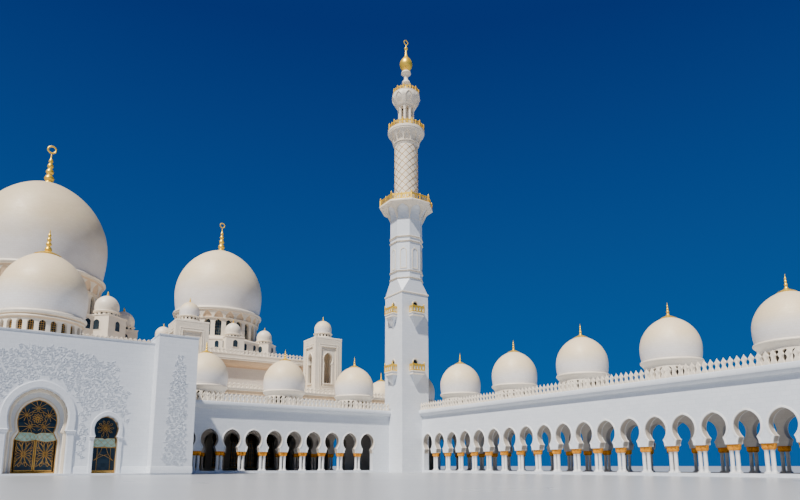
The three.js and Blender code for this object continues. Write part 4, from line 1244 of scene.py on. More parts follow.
@dataclass
class Galleries:
    """The two arcaded wings: linings, columns with palm capitals, cornices and merlons."""

    column_radius: float = 0.255
    capital_leaves: int = 8
    merlon_pitch: float = 0.86

    def rows(self) -> list[ArchRow]:
        """Front and back rows of the north wing and of the west wing.

        Returns:
            The four rows of arches.
        """
        return [
            ArchRow(facing_south(0.0), NORTH_FIRST_ARCH, 19, SHAFT_PROUD, NORTH_END - 1.0),
            ArchRow(facing_south(GALLERY_DEPTH - WALL), NORTH_FIRST_ARCH - 3 * BAY, 22, -GALLERY_DEPTH,
                    NORTH_END - 1.0),
            ArchRow(facing_east(0.0), WEST_FIRST_ARCH, 10, WEST_BLOCK_END, -SHAFT_PROUD),
            ArchRow(facing_east(WALL - GALLERY_DEPTH), WEST_FIRST_ARCH, 10, WEST_BLOCK_END, -0.01),
        ]

    def column(self) -> Surface:
        """Shaft with its square plinth, round base and necking.

        Returns:
            One column about the Z axis.
        """
        r = self.column_radius
        profile = smooth([[0.31, 0.62], [0.325, 0.66], [0.31, 0.71], [0.28, 0.74], [0.295, 0.78],
                          [0.265, 0.84], [r, 0.95], [r, 2.0], [r, 3.2]], 2)
        profile = np.vstack([[[0.0, 0.6]], profile,
                             [[0.285, 3.24], [0.305, 3.29], [0.285, 3.34], [0.0, 3.34]]])
        return Surface.join([lathe(profile, 14), slab((-0.34, -0.34, PLINTH_TOP - 0.02), (0.34, 0.34, 0.63))])

    def capital(self) -> Surface:
        """Palm capital: two tiers of leaves that bow out over the neck, under a square top.

        The half side swells once in each tier, the outline goes from a circle to a rounded
        square as the power p of (|cos|^p + |sin|^p)^(-1/p) grows, and each tier adds a ripple
        of leaves that is deepest at its middle.

        Returns:
            One capital about the Z axis.
        """
        t = np.linspace(0, 1, 13)
        angle = np.arange(32) * 2 * np.pi / 32
        half = np.interp(t, [0, 0.08, 0.25, 0.45, 0.55, 0.75, 0.92, 1.0],
                         [0.28, 0.37, 0.445, 0.46, 0.425, 0.47, 0.455, 0.4])
        power = 2.0 + 1.2 * t ** 0.8
        rounding = (np.abs(np.cos(angle))[None] ** power[:, None]
                    + np.abs(np.sin(angle))[None] ** power[:, None]) ** (-1 / power[:, None])
        low = np.clip(np.sin(np.pi * np.clip(t / 0.5, 0, 1)), 0, 1) ** 0.7
        high = np.clip(np.sin(np.pi * np.clip((t - 0.5) / 0.5, 0, 0.85)), 0, 1) ** 0.7
        ripple = 1 + 0.05 * (low[:, None] * np.cos(self.capital_leaves * angle)[None]
                             - high[:, None] * np.cos(self.capital_leaves * angle)[None])
        radius = half[:, None] * rounding * ripple
        height = np.broadcast_to((CAPITAL_FOOT + (CAPITAL_TOP + 0.02 - CAPITAL_FOOT) * t)[:, None],
                                 radius.shape)
        return loft(np.stack([radius * np.cos(angle), radius * np.sin(angle), height], -1))

    def cornice_band(self) -> Array:
        """Section of the flat band at the roof's edge, as (outwards, height)."""
        return np.array([[-0.02, 12.66], [0.78, 12.66], [0.8, 12.7], [0.8, 13.36], [0.76, 13.43],
                         [-0.02, 13.43]])

    def cornice_hollow(self) -> Array:
        """Section of the moulding under the band: a bead and a hollow curve.

        Returns:
            The section, a closed loop.
        """
        curve = smooth([[0.12, 12.16], [0.3, 12.2], [0.5, 12.34], [0.66, 12.54], [0.72, 12.68]], 4)
        return np.vstack([[[-0.02, 11.98], [0.06, 11.98], [0.1, 12.05], [0.07, 12.12]], curve,
                          [[-0.02, 12.68]]])

    def slabs(self) -> list[Surface]:
        """Roof slabs of both wings round the minaret's shaft, the wall across the far end and the
        raised wall behind the west wing.

        Returns:
            The slabs and the two walls.
        """
        shaft, inner = SHAFT_EDGE, 1.79
        depth, low, high = GALLERY_DEPTH, WALL_TOP, ROOF_TOP
        blocks = (
            ((shaft, 0.0, low), (NORTH_END, depth, high)),
            ((NORTH_WEST_END, inner, low), (shaft, depth, high)),
            ((NORTH_WEST_END, 0.0, low), (-inner, inner, high)),
            ((-depth, 0.0, high - 0.02), (WALL - depth, depth, TERRACE_PARAPET)),
            ((WALL - depth - 0.02, WEST_BLOCK_END + 0.02, low), (0.0, -shaft, high)),
            ((WALL - depth - 0.02, -shaft, low), (-inner, -0.02, high)),
            ((-depth, WEST_BLOCK_END + 0.02, low), (WALL - depth, -0.02, TERRACE_PARAPET)),
        )
        return [slab(first, last, 0.01) for first, last in blocks]

    def build(self) -> None:
        """Builds and dresses all the wings' pieces."""
        rows = self.rows()
        stretches = {"north_front": 3, "north_back": 3, "west_front": 2, "west_inner": 2}
        solids = [f"{row}_arcade_{number + 1}" for row, count in stretches.items() for number in range(count)]
        fronts, backs = rows[0::2], rows[1::2]
        piece("gallery_walls", [row.wall() for row in fronts], WALL_STONE, replaces=solids)
        # The back rows take the hall's warm stone as painted shade: the tone of their shaded faces, not a
        # stone of their own.
        piece("gallery_back_walls", [row.wall() for row in backs], HALL_STONE_AND_BACK_SHADE)
        piece("gallery_archivolts", [row.linings() for row in fronts], PALE_TRIM)
        piece("gallery_back_archivolts", [row.linings() for row in backs], HALL_STONE_AND_BACK_SHADE)
        # The linings' darker warm stone is painted shade of the openings.
        piece("gallery_soffits", [row.soffits() for row in rows], SHADED_REVEAL_STONE)
        places = np.concatenate([row.column_places() for row in rows])
        # The back columns take the hall's warm stone too: painted shade.
        for name, chosen, finish in (("columns", fronts, PALE_TRIM), ("back_columns", backs, HALL_STONE_AND_BACK_SHADE)):
            spots = np.concatenate([row.column_places() for row in chosen])
            piece(f"gallery_{name}", [self.column().repeated(spots)], finish)
        piece("gallery_capitals", [self.capital().repeated(places)], CAPITAL_GOLD, crease=60.0)
        piece("gallery_roofs", self.slabs(), WALL_STONE,
              replaces=["north_roof_with_domes", "west_roof_with_domes"])
        back = GALLERY_DEPTH
        edges = (
            ([[SHAFT_EDGE, 0.0], [NORTH_END, 0.0]], -1.0),
            ([[NORTH_WEST_END, back], [NORTH_END, back]], 1.0),
            ([[0.0, WEST_BLOCK_END + 0.02], [0.0, -SHAFT_EDGE]], -1.0),
        )
        for name, section in (("bands", self.cornice_band()), ("hollows", self.cornice_hollow())):
            runs = [sweep(line, section * [side, 1.0]) for line, side in edges]
            piece(f"gallery_cornice_{name}", runs, WALL_STONE)
        out = CORNICE_REACH - 0.14
        ends = (
            ((SHAFT_EDGE + 0.2, -out), (NORTH_END - 0.2, -out)),
            ((NORTH_WEST_END + 0.2, back + out), (NORTH_END - 0.2, back + out)),
            ((NORTH_END - 0.16, 0.2), (NORTH_END - 0.16, back - 0.2)),
            ((out, WEST_BLOCK_END + 0.3), (out, -SHAFT_EDGE - 0.2)),
        )
        rows = [merlon_row(start, end, ROOF_TOP, self.merlon_pitch) for start, end in ends]
        piece("gallery_merlons", rows, TRIM_STONE)


def merlon(height: float, half: float) -> Surface:
    """Pointed merlon with a waist, so that a row leaves tall diamonds open between its leaves.

    The half width follows set heights. Each face has a kite-shaped hollow: on the middle line the
    thickness shrinks by a share that rises and falls with the leaf's own width.

    Args:
        height: of the merlon.
        half: half its width.

    Returns:
        The merlon, its foot at the origin.
    """
    steps = np.array([[0.0, 1.0, 0.0], [0.14, 1.0, 0.0], [0.2, 0.86, 0.1], [0.31, 0.6, 0.3], [0.4, 0.5, 0.45],
                      [0.5, 0.64, 0.6], [0.58, 0.9, 0.72], [0.63, 1.0, 0.6], [0.7, 0.86, 0.4],
                      [0.82, 0.46, 0.1], [0.92, 0.18, 0.0], [1.0, 0.03, 0.0]])
    wide = steps[:, 1] * half
    thick = np.interp(steps[:, 0], [0, 0.14, 0.4, 0.66, 1.0], [0.15, 0.15, 0.12, 0.14, 0.03])
    across = np.array([-1.0, -0.72, -0.5, 0.0, 0.5, 0.72, 1.0, 0.72, 0.5, 0.0, -0.5, -0.72])
    depth = np.array([0.0, -1.0, -1.0, -1.0, -1.0, -1.0, 0.0, 1.0, 1.0, 1.0, 1.0, 1.0])
    hollow = 1 - steps[:, 2:] * (across == 0.0)[None, :]
    loops = np.stack([wide[:, None] * across[None, :], thick[:, None] * depth[None, :] * hollow,
                      np.broadcast_to(steps[:, :1] * height, (len(steps), 12))], -1)
    return loft(loops)


def merlon_row(start: Sequence[float], end: Sequence[float], foot: float, pitch: float,
               height: float = 1.75) -> Surface:
    """Merlons side by side from one plan point to another, spaced evenly near the pitch.

    Args:
        start: plan point of the row's start.
        end: plan point of its end.
        foot: height of the merlons' feet.
        pitch: spacing wanted.
        height: of a merlon.

    Returns:
        The row.
    """
    start, end = np.array(start, float), np.array(end, float)
    length = float(np.linalg.norm(end - start))
    count = max(1, round(length / pitch))
    share = (np.arange(count) + 0.5) / count
    plan = start + (end - start) * share[:, None]
    turn = math.atan2(end[1] - start[1], end[0] - start[0])
    unit = merlon(height, length / count * 0.485).turned(turn)
    return unit.repeated(np.column_stack([plan, np.full(count, foot - 0.02)]))


# Great domes

@dataclass
class GreatDome:
    """A great dome with its drum, and the turreted base of the two larger ones.

    Args:
        name: start of its pieces' names, as in the frame.
        dome: place and shape.
        drum_foot: height of the drum's foot.
        drum: outer radius of the drum wall.
        wall: thickness of the drum wall.
        window_foot: foot of the windows.
        window_top: top of their arches.
        saucer: radius of the finial's saucer.
        ring: radius of the finial's ring, or 0.
        base: radius of the base's corners, or 0.
        base_foot: height of its foot.
        base_top: height of its top.
        turret: radius of its turrets' domes.
        turret_top: top of their domes.
        course: height of a ring of the mosaic, on the model.
        bar_finish: finish of the glazing bars.
        corbelled: whether pointed arches carry the rim.
        cap: radius of the gold cap under the finial.
        shade: factor on the mosaic's colours.
        windows: how many windows the drum has.
        thickness: of the shell.
    """

    name: str
    dome: Dome
    drum_foot: float
    drum: float
    wall: float
    window_foot: float
    window_top: float
    saucer: float
    ring: float = 0.0
    base: float = 0.0
    base_foot: float = 28.2
    base_top: float = 0.0
    turret: float = 0.0
    turret_top: float = 0.0
    course: float = 0.045
    bar_finish: Gilt = WINDOW_METAL
    corbelled: bool = True
    cap: float = 1.6
    shade: float = 1.0
    windows: int = 24
    thickness: float = 0.8

    def grain(self) -> float:
        """Factor on the mouldings' sizes, under 1 where the radius is under 12 m."""
        return min(1.0, self.dome.radius / 12)

    def shell(self) -> Surface:
        """Smooth hollow shell: the outline outside, and inside it the same shape one thickness in.

        Returns:
            The shell about the Z axis.
        """
        outside = self.dome.outline(44)
        inner = Dome(0, 0, self.dome.radius - self.thickness, self.dome.belly, self.dome.rim,
                     self.dome.top - self.thickness, self.dome.tip, self.dome.peak).outline(16)
        return lathe(np.vstack([outside, inner[::-1]]), 112, ring=True)

    def rim(self) -> Surface:
        """Rolled rim of the dome: a round lip with a thin upper bead, and a fillet lower down.

        Returns:
            The ring and, without corbels, the step below it.
        """
        r, h = self.dome.radius, self.grain()
        lip = smooth([[0.985, -1.1], [1.0, -1.0], [0.998, -0.85], [1.012, -0.65], [1.016, -0.4],
                      [1.006, -0.12], [0.992, 0.06], [0.965, 0.1]], 4)
        section = np.vstack([lip, [[0.94, 0.0], [0.94, -1.1]]]) * [r, h] + [0.0, self.dome.rim]
        ring = lathe(section, 120, ring=True)
        if self.corbelled:
            return ring
        fillet = np.array([[0.93, 0.0], [0.975, 0.0], [0.985, 0.1], [0.975, 0.24], [0.93, 0.24]])
        step = lathe(fillet * [r, 1.0] + [0.0, self.window_top + 0.55], 120, ring=True)
        return Surface.join([ring, step])

    def hollow(self) -> Surface:
        """Hollow curve that leans out from the drum wall to the rim.

        Returns:
            The curve under the rim.
        """
        r, top, h = self.dome.radius, self.dome.rim, self.grain()
        foot = self.window_top + 0.25 * h
        curve = smooth([[self.drum + 0.04, foot], [self.drum + 0.1, foot + 0.4 * h],
                        [(self.drum + r) / 2 - 0.1 * h, (foot + top - 1.1 * h) / 2 + 0.3 * h],
                        [r * 0.985, top - 1.08 * h]], 4)
        return lathe(np.vstack([curve, [[r * 0.93, top - 1.05 * h], [self.drum - 0.1, foot]]]), 120,
                     ring=True)

    def corbels(self) -> Surface:
        """Row of pointed arches that lean out from the piers between the windows to the rim.

        Returns:
            The leaning arches.
        """
        h = self.grain()
        foot, head = self.window_top + 0.05 * h, self.dome.rim - h
        ring = arched_ring(self.drum, self.windows, foot, head, 0.78, 0.42 * h, -0.05, 0.35)
        return leaning(ring, self.drum, foot, head, self.dome.radius * 0.975 - self.drum - 0.3 * h, 1.7)

    def wall_ring(self) -> Surface:
        """Drum wall with its arched windows, and a sill round its foot.

        Returns:
            The drum's wall and its sill.
        """
        foot = self.drum_foot + 0.02
        head = self.window_top + 0.62 * self.grain()
        margin = (self.window_foot - foot) / (head - foot)
        arcade = arched_ring(self.drum, self.windows, foot, head, 0.6, 0.0, -self.wall, 0.1, 2.6, margin)
        sill = np.array([[-0.2, 0.0], [0.35, 0.0], [0.35, 0.3], [0.2, 0.45], [-0.2, 0.45]])
        return Surface.join([arcade, lathe(sill + [self.drum, foot], 120, ring=True)])

    def glass_radius(self) -> float:
        """Radius of the drum's glass."""
        return self.drum - self.wall * 0.75

    def glass(self) -> Surface:
        """Ring of glass inside the windows."""
        r, low, high = self.glass_radius(), self.window_foot - 0.1, self.window_top + 0.1
        return lathe([[r - 0.1, low], [r, low], [r, high], [r - 0.1, high]], self.windows * 3, ring=True)

    def bars(self) -> Surface:
        """Two upright and five level glazing bars in each window.

        Returns:
            The bars of all the windows.
        """
        r = self.glass_radius()
        half = np.pi * self.drum / self.windows * 0.62
        w = 0.04 * self.grain() + 0.015
        uprights = [slab((r - 0.02, u - w, self.window_foot), (r + 0.08, u + w, self.window_top), 0.01)
                    for u in (-half / 3, half / 3)]
        levels = [slab((r - 0.02, -half, z - w), (r + 0.07, half, z + w), 0.01)
                  for z in np.linspace(self.window_foot, self.window_top, 6)[1:-1]]
        return Surface.join([*uprights, *levels]).around(self.windows)

    def turret_places(self) -> tuple[Array, Array]:
        """Places of the turrets round the base, and the angles that they face."""
        places = np.column_stack([circle(self.base - 0.6, 8), np.zeros(8)])
        return places, np.arange(8) * np.pi / 4

    def turret_body(self) -> Surface:
        """Block of a turret with its cornice, its ring of small openings and its collar.

        Returns:
            One turret about the Z axis, without its dome.
        """
        r, eave = self.turret, self.eave()
        half = r * 1.16
        out = half + 0.15
        block = slab((-half, -half, self.base_foot), (half, half, eave - 0.35 * r), 0.04)
        ledge = slab((-out, -out, eave - 0.42 * r), (out, out, eave - 0.33 * r), 0.05)
        ring = arched_ring(r * 0.96, 14, eave - 0.34 * r, eave - 0.02 * r, 0.55, 0.0, -0.3, 0.1)
        roll = smooth([[0.96, -0.04], [1.06, 0.02], [1.08, 0.08], [1.03, 0.13], [0.94, 0.14]], 3)
        collar = np.vstack([roll, [[0.8, 0.1], [0.8, -0.04]]]) * r + [0.0, eave]
        return Surface.join([block, ledge, ring, lathe(collar, 32, ring=True)])

    def turret_dome(self) -> Surface:
        """Round dome of a turret, over the plain one.

        Returns:
            One turret's dome about the Z axis.
        """
        eave = self.eave()
        dome = Dome(0, 0, self.turret, belly=0.35, rim=eave, top=self.turret_top, tip=0, peak=0.1)
        return lathe(np.vstack([[[0.0, eave]], dome.outline(14)]), 36)

    def eave(self) -> float:
        """Height of the rims of the turrets' domes."""
        return self.turret_top - self.turret * 1.62

    def arched_window(self, half: float, face: Facade) -> tuple[Surface, Surface]:
        """Frame and pane of one small arched window of the base, at run 0 of a face.

        Args:
            half: half its width.
            face: the wall's face.

        Returns:
            Its frame and its pane.
        """
        top = self.eave() - 0.75 * self.turret
        foot = top - 0.9 * self.turret
        opening = arch_outline(half, foot, top - half, top, 7, 2.6)
        edge = arch_outline(half * 1.28, foot - 0.1, top - half, top + half * 0.32, 7, 2.6)
        return face.place(pierced(edge, opening, 0.1, -0.02)), face.plate(opening, 0.03, -0.01)

    def turret_window(self) -> tuple[Surface, Surface, Surface]:
        """Arched windows on the sides of a turret's block, and the shade behind its ring.

        Returns:
            Frames, panes and the shade behind them.
        """
        r, eave = self.turret, self.eave()
        rim, pane = self.arched_window(r * 0.3, facing_east(r * 1.16))
        shade = lathe(np.array([[0.0, -0.34], [0.74, -0.34], [0.74, 0.0], [0.0, 0.0]]) * r + [0.0, eave], 20)
        return rim.around(4), pane.around(4), shade

    def base_ring(self) -> Surface:
        """Eight-sided base, hollow, with a moulded edge and a sloped roof up to the drum.

        Returns:
            The base's mouldings.
        """
        bore, ledge, inner = self.drum - 1.1, self.base_top - 0.9, self.base - 1.4
        edge, slope = self.eave() - 0.42 * self.turret, self.window_foot - 0.3
        return lathe([[self.base, self.base_foot], [self.base, edge - 0.5], [self.base + 0.16, edge - 0.4],
                      [self.base + 0.16, edge], [self.base - 0.1, edge + 0.1], [self.drum + 1.0, slope],
                      [self.drum - 0.3, slope], [self.drum - 0.3, self.base_top], [bore, self.base_top],
                      [bore, ledge], [inner, ledge], [inner, self.base_foot]], 8, ring=True)

    def base_walls(self) -> tuple[Surface, Surface]:
        """Small arched windows between the turrets: their frames and their panes.

        Returns:
            Frames and panes of the base's windows.
        """
        reach = self.base * math.sin(math.pi / 8) - self.turret * 1.2
        count = 3 if self.base > 20 else 2
        runs = (np.arange(count) - (count - 1) / 2) * (2 * reach / count)
        frames, panes = self.arched_window(self.turret * 0.24, facing_east(self.base * math.cos(math.pi / 8)))
        offsets = np.column_stack([np.zeros(count), runs, np.zeros(count)])
        return tuple(part.repeated(offsets).around(8, np.pi / 8) for part in (frames, panes))

    def mosaic(self) -> DomeStone:
        """The shell's finish, its rings and its rise from the pale grey of painted shade and sky reflection
        to cream fitted to this dome.

        Returns:
            The finish of the shell.
        """
        blocks = int(2 * math.pi * self.dome.radius / SCALE / self.course / 2)
        tones = {name: tuple(channel * self.shade for channel in getattr(DomeStone, name))
                 for name in ("light", "dark", "pale", "grey")}
        return DomeStone(f"{self.name}_dome_mosaic", (self.dome.x, self.dome.y), self.course, blocks,
                         self.dome.rise(0.1, 0.55), **tones)

    def build(self) -> None:
        """Builds and dresses the dome's pieces."""
        name, axis = f"{self.name}_dome", (self.dome.x, self.dome.y)
        piece(f"{name}_smooth_shell", [self.shell()], self.mosaic(), replaces=[f"{name}_shell"],
              at=axis)
        # The hollow's tan stone is painted shade under the rim.
        piece(f"{name}_hollow", [self.hollow()], SHADED_HOLLOW_STONE, at=axis)
        white = [self.rim(), self.wall_ring()]
        if self.corbelled:
            white.append(self.corbels())
        dark = [self.glass()]
        gold = [*finial(self.dome.top - 0.12, self.dome.tip, self.saucer, self.ring),
                self.dome.cap(self.cap, 0.2, 48, 0.3)]
        replaced = [f"{name}_drum"]
        if self.base:
            replaced.append(f"{name}_base")
            places, turns = self.turret_places()
            frames, panes, shade = self.turret_window()
            walls, wall_panes = self.base_walls()
            white += [Surface.join([self.turret_body(), frames]).repeated(places, turns), walls,
                      self.base_ring()]
            dark += [Surface.join([panes, shade]).repeated(places, turns), wall_panes]
            tip = Surface.join(finial(self.turret_top - 0.05, self.turret_top + self.turret * 0.42,
                                      self.turret * 0.11, sides=12))
            gold.append(tip.repeated(places))
            piece(f"{name}_turret_domes", [self.turret_dome().repeated(places)], TRIM_STONE,
                  at=axis)
        piece(f"{name}_masonry", white, TRIM_STONE, replaces=replaced, at=axis)
        piece(f"{name}_glass", dark, DARK_GLASS, at=axis)
        piece(f"{name}_bars", [self.bars()], self.bar_finish, at=axis)
        piece(f"{name}_gold", gold, GOLD, replaces=[f"{name}_finial"], at=axis)


GREAT_DOMES = (
    GreatDome("main", MAIN, drum_foot=38.0, drum=14.9, wall=1.1, window_foot=40.5, window_top=47.4,
              saucer=1.25, ring=1.0, base=22.6, base_top=38.0, turret=3.0, turret_top=45.7, course=0.05,
              shade=0.86),
    GreatDome("flank", FLANK, drum_foot=36.4, drum=12.1, wall=1.1, window_foot=39.4, window_top=44.6,
              saucer=1.0, ring=0.72, base=16.6, base_top=36.4, turret=2.3, turret_top=42.6, course=0.05,
              cap=1.3),
    GreatDome("front", FRONT, drum_foot=24.4, drum=7.1, wall=0.8, window_foot=25.2, window_top=27.2,
              saucer=0.62, bar_finish=TRACERY_GOLD, corbelled=False, cap=2.3),
)


# Minaret

def octagonal(profile: Array) -> Surface:
    """Eight-sided ring about the Z axis, a face to +X, its profile (apothem, height) a closed loop."""
    return lathe(profile * [1 / math.cos(math.pi / 8), 1.0], 8, ring=True, phase=math.pi / 8)


@dataclass
class Minaret:
    """The minaret on the corner: balconies, octagon, round shaft, lantern and finial."""

    axis: tuple[float, float] = (1.77, -1.77)
    half: float = 3.54
    apothem: float = 3.5
    octagon_foot: float = 43.28
    flare_foot: float = 57.6
    lower_foot: float = 60.95
    lower_top: float = 61.5
    lower_reach: float = 5.95
    round_radius: float = 2.8
    upper_flare: float = 77.5
    upper_foot: float = 80.0
    upper_top: float = 81.1
    upper_reach: float = 4.4
    crown_foot: float = 87.1
    crown_top: float = 90.9
    onion_foot: float = 97.4
    tip: float = 106.0
    rails: tuple[float, float] = (36.6, 23.4)

    def octagon_band(self, low: float, high: float, reach: float) -> Surface:
        """Eight-sided moulding between two heights: a roll at the top and a hollow under it.

        Args:
            low: its foot.
            high: its top.
            reach: its greatest apothem.

        Returns:
            The moulding.
        """
        face = np.array([[-0.12, 0.0], [-0.05, 0.12], [-0.16, 0.3], [-0.16, 0.62], [-0.04, 0.7], [0.0, 0.82],
                         [-0.04, 0.94], [-0.1, 1.0]]) * [1.0, high - low] + [reach, low]
        back = self.apothem - 0.15
        return octagonal(np.vstack([[[back, low]], face, [[back, high]]]))

    def panel_frames(self) -> Surface:
        """Round-headed frame proud of each of the octagon's tall panels.

        Returns:
            The frames on the eight faces.
        """
        opening = arch_outline(0.6, 45.95, 49.9, 50.5)
        edge = arch_outline(0.8, 45.7, 49.85, 50.8)
        return facing_east(self.apothem).place(pierced(edge, opening, 0.1, -0.1)).around(8)

    def octagon(self) -> Surface:
        """Plain octagonal shaft, which swells out in a hollow curve under the lower balcony.

        Returns:
            The octagon's walls.
        """
        backs = smooth([[self.apothem, 58.6], [3.6, 59.3], [3.9, 60.0], [4.4, 60.5], [5.0, self.lower_foot]],
                       3)
        profile = np.vstack([[[2.2, self.octagon_foot], [self.apothem, self.octagon_foot]], backs,
                             [[2.2, self.lower_foot]]])
        return octagonal(profile)

    def niches(self) -> Surface:
        """Flare of eight pointed niches under the lower balcony.

        Each face is a pierced plate whose run is a share of the face's half width. The width and
        the depth follow the flare's outline, a smooth curve of apothem over height.

        Returns:
            The niches on the eight faces.
        """
        foot, head = self.flare_foot, self.lower_foot + 0.02
        opening = arch_outline(0.84, foot + 0.06, 59.7, head - 0.2, 9)
        opening[:, 0] *= np.interp(opening[:, 1], [foot, 58.8, head], [1.15, 1.0, 1.0])
        edge = boxed(opening, (0.0, 59.3), (-1.0, foot), (1.0, head))
        plate = pierced(edge, opening, 0.0, -1.0)
        levels = np.array([foot, 58.4, 59.2, 60.0, 60.6, head])
        flare = np.array([3.52, 3.72, 4.05, 4.6, 5.2, 5.78])

        def onto_flare(points: Array) -> Array:
            """The plate's points on the flare.

            Args:
                points: columns run, depth and height.

            Returns:
                The points moved outwards.
            """
            outer = np.interp(points[:, 2], levels, flare)
            apothem = outer + points[:, 1] * 0.55
            return np.column_stack([apothem, points[:, 0] * apothem * math.tan(math.pi / 8), points[:, 2]])
        return plate.mapped(onto_flare).sealed().around(8)

    def round_shaft(self) -> list[Surface]:
        """Round shaft with its foot, the scalloped flare of twelve niches and the upper slab.

        Returns:
            The shaft, the upper balcony, its arches and their backs.
        """
        r, foot, flare, head = self.round_radius, self.lower_top + 0.01, self.upper_flare, self.upper_foot
        shaft = lathe([[2.0, foot], [3.15, foot], [3.15, foot + 0.5], [3.05, foot + 0.7],
                       [r + 0.04, foot + 0.9], [r, foot + 1.2], [r, flare - 0.6], [r + 0.12, flare - 0.45],
                       [r + 0.16, flare - 0.25], [r + 0.05, flare - 0.05], [r + 0.05, head], [2.0, head]], 48,
                       ring=True)
        edge = np.array([[2.0, 0.0], [4.15, 0.0], [4.3, 0.12], [4.3, 0.32], [4.42, 0.45], [4.42, 0.88],
                         [4.32, 1.0], [4.32, 1.1], [2.0, self.upper_top - head]])
        balcony = lathe(edge + [0.0, head], 48, ring=True)
        arches = leaning(arched_ring(r + 0.05, 12, flare, head, 0.8, 0.3, -0.1, 1.0), r, flare, head, 1.0,
                         1.6)
        curve = smooth([[r, flare], [r + 0.2, flare + 0.8], [r + 0.55, flare + 1.7], [r + 1.15, head]], 4)
        backs = lathe(np.vstack([curve, [[2.2, head], [2.2, flare]]]), 48, ring=True)
        return [shaft, balcony, arches, backs]

    def net(self) -> Surface:
        """Net of crossing raised lines on the round shaft: helices turning both ways.

        A strand is a strip of square section along the angle a0 +- 2 pi turns t at height t.

        Returns:
            The strands both ways.
        """
        strands, steps, turns, half = 10, 72, 0.8, 0.085
        low, high, r = self.lower_top + 1.35, self.upper_flare - 0.75, self.round_radius
        t = np.linspace(0, 1, steps)
        section = np.array([[-half, -0.05], [half, -0.05], [half * 0.5, 0.055], [-half * 0.5, 0.055]])
        made = []
        for direction in (1.0, -1.0):
            angle = direction * 2 * np.pi * turns * t[:, None] + section[None, :, 0] / r
            reach = r + np.broadcast_to(section[None, :, 1], angle.shape)
            height = np.broadcast_to((low + (high - low) * t)[:, None], angle.shape)
            strand = loft(np.stack([reach * np.cos(angle), reach * np.sin(angle), height], -1))
            made.append(strand.around(strands))
        return Surface.join(made)

    def lantern(self) -> list[Surface]:
        """Sill, eight columns round a core, the niched crown and the baluster above it.

        Returns:
            Sill, core, shafts, crown, its ribs and the baluster over it.
        """
        foot, low, top = self.upper_top + 0.01, self.crown_foot, self.crown_top
        onion, rib_radius = self.onion_foot, 2.65
        ledge = np.array([[1.0, 0.0], [2.15, 0.0], [2.15, 0.6], [2.02, 0.8], [1.95, 1.1], [1.0, 1.1]])
        sill = lathe(ledge + [0.0, foot], 40, ring=True)
        core = lathe([[0, foot + 1.0], [0.72, foot + 1.0], [0.72, low + 0.4], [0, low + 0.4]], 24)
        rise = low + 0.2 - foot - 1.0
        steps = np.array([[0.42, 0.01], [0.42, 0.05], [0.34, 0.09], [0.33, 0.45], [0.32, 0.78], [0.4, 0.83],
                          [0.36, 0.86], [0.48, 0.95], [0.5, 1.0]]) * [1.0, rise] + [0.0, foot + 1.0]
        shaft = lathe(np.vstack([[[0, foot + 1.0]], smooth(steps, 3), [[0, low + 0.2]]]), 14)
        ring = np.column_stack([circle(1.66, 8), np.zeros(8)])
        share = np.array([0.0, 0.07, 0.17, 0.36, 0.54, 0.72, 0.88, 0.92])
        reach = np.array([2.1, 2.12, 2.3, 2.75, 3.12, 3.24, 3.2, 3.05])
        levels = low + share * (top - low)
        rim = [[3.22, top - 0.3], [3.28, top - 0.18], [3.22, top - 0.05], [1.0, top], [1.0, low]]
        crown = lathe(np.vstack([smooth(np.column_stack([reach, levels]), 3), rim]), 48, ring=True)
        opening = arch_outline(0.62, low + 0.7, top - 1.7, top - 0.65, 7)
        edge = boxed(opening, (0, low + 2), (-1.04, low + 0.35), (1.04, top - 0.35))
        rib = bent(pierced(edge, opening, 0.18, -0.2), rib_radius)

        def swell(points: Array) -> Array:
            """The rib's points over the crown's outline.

            Args:
                points: of the rib on its cylinder.

            Returns:
                The points on the crown.
            """
            target = np.interp(points[:, 2], levels, reach + 0.08)
            distance = np.linalg.norm(points[:, :2], axis=1)
            outer = (distance - rib_radius) * 0.8 + target
            return np.column_stack([points[:, :2] * (outer / distance)[:, None], points[:, 2]])
        ribs = rib.mapped(swell).around(8, np.pi / 8)
        beads = np.array([[1.25, 0.0], [1.15, 0.03], [0.8, 0.08], [0.6, 0.16], [0.55, 0.3], [0.62, 0.4],
                          [0.98, 0.47], [1.04, 0.51], [0.9, 0.56], [0.58, 0.62], [0.52, 0.72], [0.66, 0.8],
                          [1.16, 0.88], [1.2, 0.92], [1.0, 0.97]]) * [1.0, onion - top] + [0.0, top]
        baluster = lathe(np.vstack([[[0, top - 0.1]], smooth(beads, 4), [[0, onion + 0.02]]]), 32)
        return [sill, core, shaft.repeated(ring), crown, ribs, baluster]

    def finial(self) -> list[Surface]:
        """Gold onion with its long neck, ball and ring.

        Returns:
            The onion with its stem, and the ring.
        """
        onion = smooth([[0.55, 0.0], [0.95, 0.35], [1.38, 1.0], [1.57, 1.7], [1.45, 2.5], [1.05, 3.2],
                        [0.58, 3.8], [0.34, 4.5], [0.26, 5.4], [0.2, 5.7], [0.34, 5.9], [0.47, 6.2],
                        [0.34, 6.5], [0.17, 6.7], [0.11, 7.2], [0.1, 7.35]], 4)
        profile = np.vstack([[[0.0, 0.0]], onion, [[0.0, 7.35]]])
        ring, thick = 0.56, 0.12
        return [lathe(profile, 36).moved(z=self.onion_foot),
                torus(ring, thick).moved(z=self.tip - ring - thick)]

